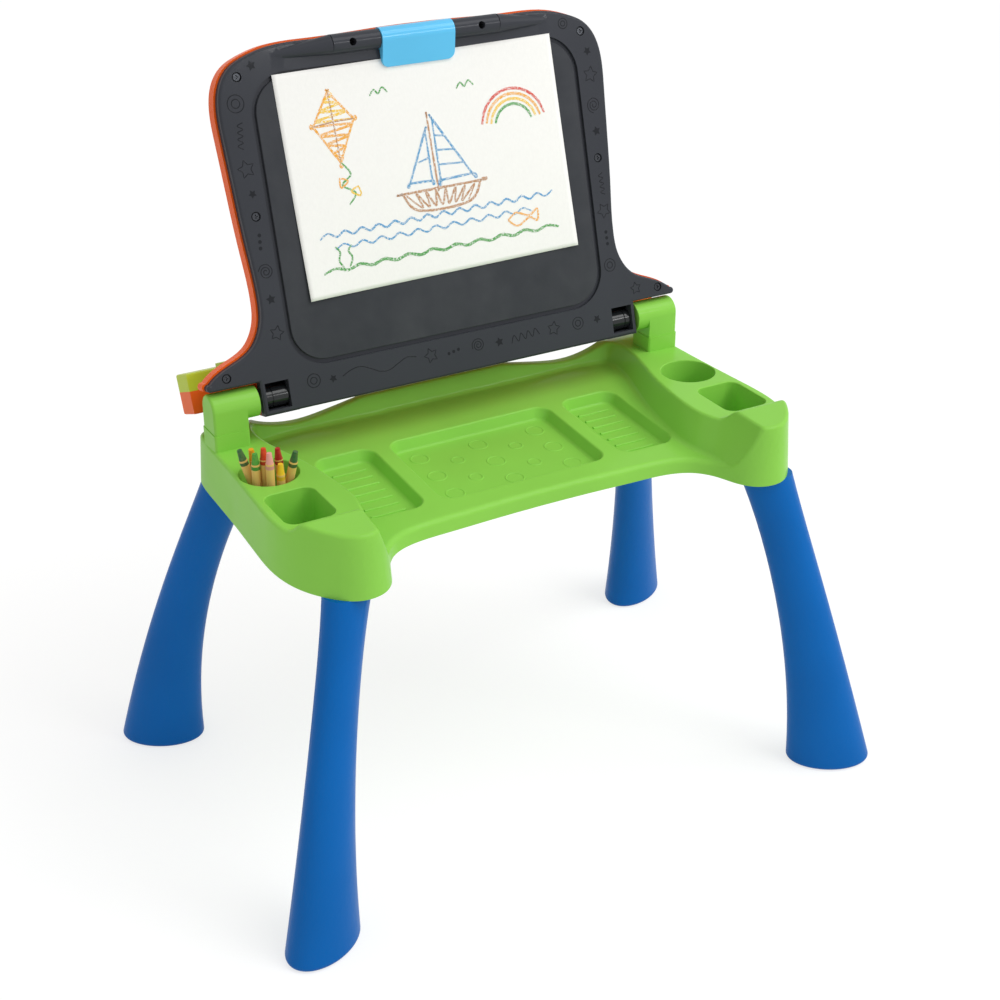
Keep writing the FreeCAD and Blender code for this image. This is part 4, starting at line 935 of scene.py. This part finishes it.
class LEARNINGTABLE_OT_drawing(bpy.types.Operator):
    """Lay the sheet of paper on the board and draw on it"""

    bl_idname = "learning_table.drawing"
    bl_label = "Drawing"

    def execute(self, context):
        scene = context.scene
        settings, wax = scene.table_drawing, scene.table_wax
        columns, rows = 66, 48
        vertices, faces = [], []
        for row in range(rows + 1):
            for column in range(columns + 1):
                across = settings.width * (column / columns - 0.5)
                vertices.append(sheet_point(across, settings.height * row / rows, 0.0, settings))
        for row in range(rows):
            for column in range(columns):
                base = row * (columns + 1) + column
                faces.append((base, base + 1, base + columns + 2, base + columns + 1))
        paper = drawing_paper("paper", scene.table_colours.paper)
        sheet = piece("drawing_paper", vertices, faces, [paper])
        solid = sheet.modifiers.new("thickness", "SOLIDIFY")
        solid.thickness = settings.thick
        solid.offset = 1.0

        names = ("yellow", "orange", "brown", "blue", "green", "red_orange")
        waxes = [wax_stroke("wax_" + name, getattr(wax, name), scene.table_colours.paper) for name in names]
        vertices, faces, indices = [], [], []
        layer = settings.thick + STROKE_GAP
        for name, points, weight in drawing_strokes():
            placed = [(x * 0.001 - settings.width * 0.5, y * 0.001) for x, y in points]
            line = softened(placed, False, 12)
            before = len(faces)
            ribbon(
                vertices,
                faces,
                line,
                settings.stroke * weight,
                lambda point, height, proud=layer: sheet_point(point.x, point.y, proud + height, settings),
                STROKE_CROWN,
                True,
            )
            indices.extend([names.index(name)] * (len(faces) - before))
            layer += STROKE_STEP
        strokes = piece("drawing_strokes", vertices, faces, waxes, indices)
        for made in (sheet, strokes):
            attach(made, "lid")
        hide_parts("drawing_sheet")
        return {"FINISHED"}


class LEARNINGTABLE_OT_console(bpy.types.Operator):
    """Finish the console's housing, battery door and controls"""

    bl_idname = "learning_table.console"
    bl_label = "Console"

    def execute(self, context):
        scene = context.scene
        colours, finish = scene.table_colours, scene.table_finish
        lime = moulded("lime_plastic", colours.console, finish.satin, finish)
        orange = moulded("console_orange", colours.console_back, finish.satin, finish)
        dress(("console_front",), lime)
        dress(("console_rear", "battery_door"), orange)
        sky = moulded("control_sky", colours.clip, finish.gloss, finish, coat=0.3)
        dress(("mode_knob", "power_switch", "volume_switch"), sky)
        for name in ("yellow", "pink", "blue", "red"):
            tint = getattr(colours, "key_" + name)
            bright = moulded("button_" + name, tint, finish.gloss, finish, coat=0.3)
            dress(("button_" + name,), bright)
        return {"FINISHED"}


class LEARNINGTABLE_OT_works(bpy.types.Operator):
    """Finish what is inside the console"""

    bl_idname = "learning_table.works"
    bl_label = "Console Works"

    def execute(self, context):
        scene = context.scene
        colours, finish = scene.table_colours, scene.table_finish
        dress(("circuit_board",), moulded("board_resin", colours.resin, 0.4, finish, 0.15))
        dress(("keypad",), soft_rubber("grey_rubber", colours.rubber))
        dress(("speaker",), soft_rubber("speaker_black", colours.cone))
        dress(("selector_switch",), moulded("white_plastic", colours.white, 0.4, finish))
        dress(("battery_cells",), moulded("cell_jacket", colours.cells, 0.3, finish))
        dress(("battery_contacts",), plated_steel("contact_steel", colours.steel))
        return {"FINISHED"}


class LEARNINGTABLE_OT_hardware(bpy.types.Operator):
    """Finish the screws and hinge pins in plated steel"""

    bl_idname = "learning_table.hardware"
    bl_label = "Screws and Pins"

    def execute(self, context):
        colours = context.scene.table_colours
        screws = ("leg_screws", "post_screws", "pcb_screws", "battery_door_screw")
        pins = ("hinge_pin_left", "hinge_pin_right")
        dress(screws + pins, plated_steel("steel", colours.steel))
        # Painted shade: the board's screws get steel darkened for the shade in their recesses.
        dress(("board_screws",), plated_steel("black_steel", colours.black_steel))
        return {"FINISHED"}


class LEARNINGTABLE_OT_crayons(bpy.types.Operator):
    """Finish the eight crayons in the left cup"""

    bl_idname = "learning_table.crayons"
    bl_label = "Crayons"

    def execute(self, context):
        wax = context.scene.table_wax
        tints = ("dark_green", "orange", "green", "red_orange", "dark_red", "pink", "yellow", "dark_green")
        for number, tint in enumerate(tints, start=1):
            name = f"crayon_{number}"
            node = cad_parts[name]
            finish = crayon_finish(f"{name}_{tint}", node, Vector(getattr(wax, tint)), Vector(wax.wrapper))
            dress((name,), finish)
        return {"FINISHED"}


class LEARNINGTABLE_OT_stage(bpy.types.Operator):
    """Lay the floor, hang the lamps and set up the camera"""

    bl_idname = "learning_table.stage"
    bl_label = "Stage"

    def execute(self, context):
        scene = context.scene
        studio = scene.table_studio
        half = studio.floor * 0.5
        corners = [(-half, -half, 0.0), (half, -half, 0.0), (half, half, 0.0), (-half, half, 0.0)]
        floor = piece("studio_floor", corners, [(0, 1, 2, 3)], [self.floor_finish(studio)])
        self.light(scene, studio)
        camera = bpy.data.cameras.new("studio_camera")
        camera.sensor_width = 36.0
        camera.lens = studio.lens
        stand = bpy.data.objects.new("studio_camera", camera)
        scene.collection.objects.link(stand)
        stand.location = studio.place
        stand.rotation_euler = (-Vector(studio.back)).to_track_quat("-Z", "Y").to_euler()
        scene.camera = stand
        scene.view_settings.view_transform = "Standard"
        return {"FINISHED"}

    def any_ray(self, tree, kinds):
        """An output that is 1 for rays of any of these kinds, otherwise 0."""
        rays = tree.nodes.new("ShaderNodeLightPath")
        seen = rays.outputs[kinds[0]]
        for kind in kinds[1:]:
            larger = tree.nodes.new("ShaderNodeMath")
            larger.operation = "MAXIMUM"
            tree.links.new(seen, larger.inputs[0])
            tree.links.new(rays.outputs[kind], larger.inputs[1])
            seen = larger.outputs["Value"]
        return seen

    def floor_finish(self, studio):
        """Plain white floor: the camera and glossy surfaces see it as white paper with a light shadow."""
        material = bpy.data.materials.new("floor_white")
        material.use_nodes = True
        tree = material.node_tree
        tree.nodes.remove(tree.nodes["Principled BSDF"])
        plain = tree.nodes.new("ShaderNodeBsdfDiffuse")
        plain.inputs["Color"].default_value = (*[studio.floor_bounce] * 3, 1.0)
        pale = tree.nodes.new("ShaderNodeBsdfDiffuse")
        pale.inputs["Color"].default_value = (*[studio.floor_shade] * 3, 1.0)
        glow = tree.nodes.new("ShaderNodeEmission")
        glow.inputs["Strength"].default_value = studio.floor_glow
        paper = tree.nodes.new("ShaderNodeAddShader")
        tree.links.new(pale.outputs["BSDF"], paper.inputs[0])
        tree.links.new(glow.outputs["Emission"], paper.inputs[1])
        either = tree.nodes.new("ShaderNodeMixShader")
        tree.links.new(self.any_ray(tree, ("Is Camera Ray", "Is Glossy Ray")), either.inputs["Fac"])
        tree.links.new(plain.outputs["BSDF"], either.inputs[1])
        tree.links.new(paper.outputs["Shader"], either.inputs[2])
        tree.links.new(either.outputs["Shader"], tree.nodes["Material Output"].inputs["Surface"])
        return material

    def hang(self, scene, lamp, place, target):
        """A lamp that shines from a place at a target, and shows only in what it lights."""
        hung = bpy.data.objects.new(lamp.name, lamp)
        scene.collection.objects.link(hung)
        hung.location = place
        hung.rotation_euler = (Vector(target) - Vector(place)).to_track_quat("-Z", "Y").to_euler()
        hung.visible_camera = False

    def light(self, scene, studio):
        """A broad key lamp, a round lamp at the right, a soft box in front and an even white room."""
        key = bpy.data.lights.new("key_lamp", "SUN")
        key.energy = studio.key
        key.angle = studio.key_spread
        hung = bpy.data.objects.new("key_lamp", key)
        scene.collection.objects.link(hung)
        hung.rotation_euler = Vector(studio.key_way).to_track_quat("-Z", "Y").to_euler()
        side = bpy.data.lights.new("side_lamp", "AREA")
        side.shape = "DISK"
        side.size = studio.side_size
        side.energy = studio.side
        self.hang(scene, side, studio.side_place, studio.side_aim)
        front = bpy.data.lights.new("front_lamp", "AREA")
        front.shape = "RECTANGLE"
        front.size = studio.front_width
        front.size_y = studio.front_height
        front.energy = studio.front
        self.hang(scene, front, studio.front_place, studio.front_aim)
        world = bpy.data.worlds.new("white_room")
        world.use_nodes = True
        tree = world.node_tree
        room = tree.nodes["Background"]
        room.inputs["Color"].default_value = (1.0, 1.0, 1.0, 1.0)
        level = tree.nodes.new("ShaderNodeMapRange")
        level.inputs["To Min"].default_value = studio.sky
        level.inputs["To Max"].default_value = 1.0
        seen = self.any_ray(tree, ("Is Camera Ray", "Is Transmission Ray", "Is Glossy Ray"))
        tree.links.new(seen, level.inputs["Value"])
        tree.links.new(level.outputs["Result"], room.inputs["Strength"])
        scene.world = world


OPERATORS = (
    LEARNINGTABLE_OT_stage,
    LEARNINGTABLE_OT_tray,
    LEARNINGTABLE_OT_legs,
    LEARNINGTABLE_OT_board,
    LEARNINGTABLE_OT_ornament,
    LEARNINGTABLE_OT_lid,
    LEARNINGTABLE_OT_clip,
    LEARNINGTABLE_OT_drawing,
    LEARNINGTABLE_OT_console,
    LEARNINGTABLE_OT_works,
    LEARNINGTABLE_OT_hardware,
    LEARNINGTABLE_OT_crayons,
)

GROUPS = {
    "table_colours": TableColours,
    "table_wax": WaxColours,
    "table_finish": FinishSettings,
    "table_drawing": DrawingSettings,
    "table_ornament": OrnamentSettings,
    "table_studio": StudioSettings,
}


class LEARNINGTABLE_PT_looks(bpy.types.Panel):
    """The table's pieces and their settings"""

    bl_idname = "LEARNINGTABLE_PT_looks"
    bl_label = "Learning Table"
    bl_space_type = "VIEW_3D"
    bl_region_type = "UI"
    bl_category = "Learning Table"

    def draw(self, context):
        layout = self.layout
        for operator in OPERATORS:
            layout.operator(operator.bl_idname)
        for name, group in GROUPS.items():
            box = layout.box()
            box.label(text=group.__doc__)
            for key in group.__annotations__:
                box.prop(getattr(context.scene, name), key)


def register():
    for group in GROUPS.values():
        bpy.utils.register_class(group)
    for operator in OPERATORS:
        bpy.utils.register_class(operator)
    bpy.utils.register_class(LEARNINGTABLE_PT_looks)
    for name, group in GROUPS.items():
        setattr(bpy.types.Scene, name, bpy.props.PointerProperty(type=group))


def unregister():
    for name in GROUPS:
        delattr(bpy.types.Scene, name)
    bpy.utils.unregister_class(LEARNINGTABLE_PT_looks)
    for operator in reversed(OPERATORS):
        bpy.utils.unregister_class(operator)
    for group in reversed(list(GROUPS.values())):
        bpy.utils.unregister_class(group)


def main():
    register()
    bpy.ops.learning_table.stage()
    bpy.ops.learning_table.tray()
    bpy.ops.learning_table.legs()
    bpy.ops.learning_table.board()
    bpy.ops.learning_table.ornament()
    bpy.ops.learning_table.lid()
    bpy.ops.learning_table.clip()
    bpy.ops.learning_table.drawing()
    bpy.ops.learning_table.console()
    bpy.ops.learning_table.works()
    bpy.ops.learning_table.hardware()
    bpy.ops.learning_table.crayons()


if __name__ == "__main__":
    main()
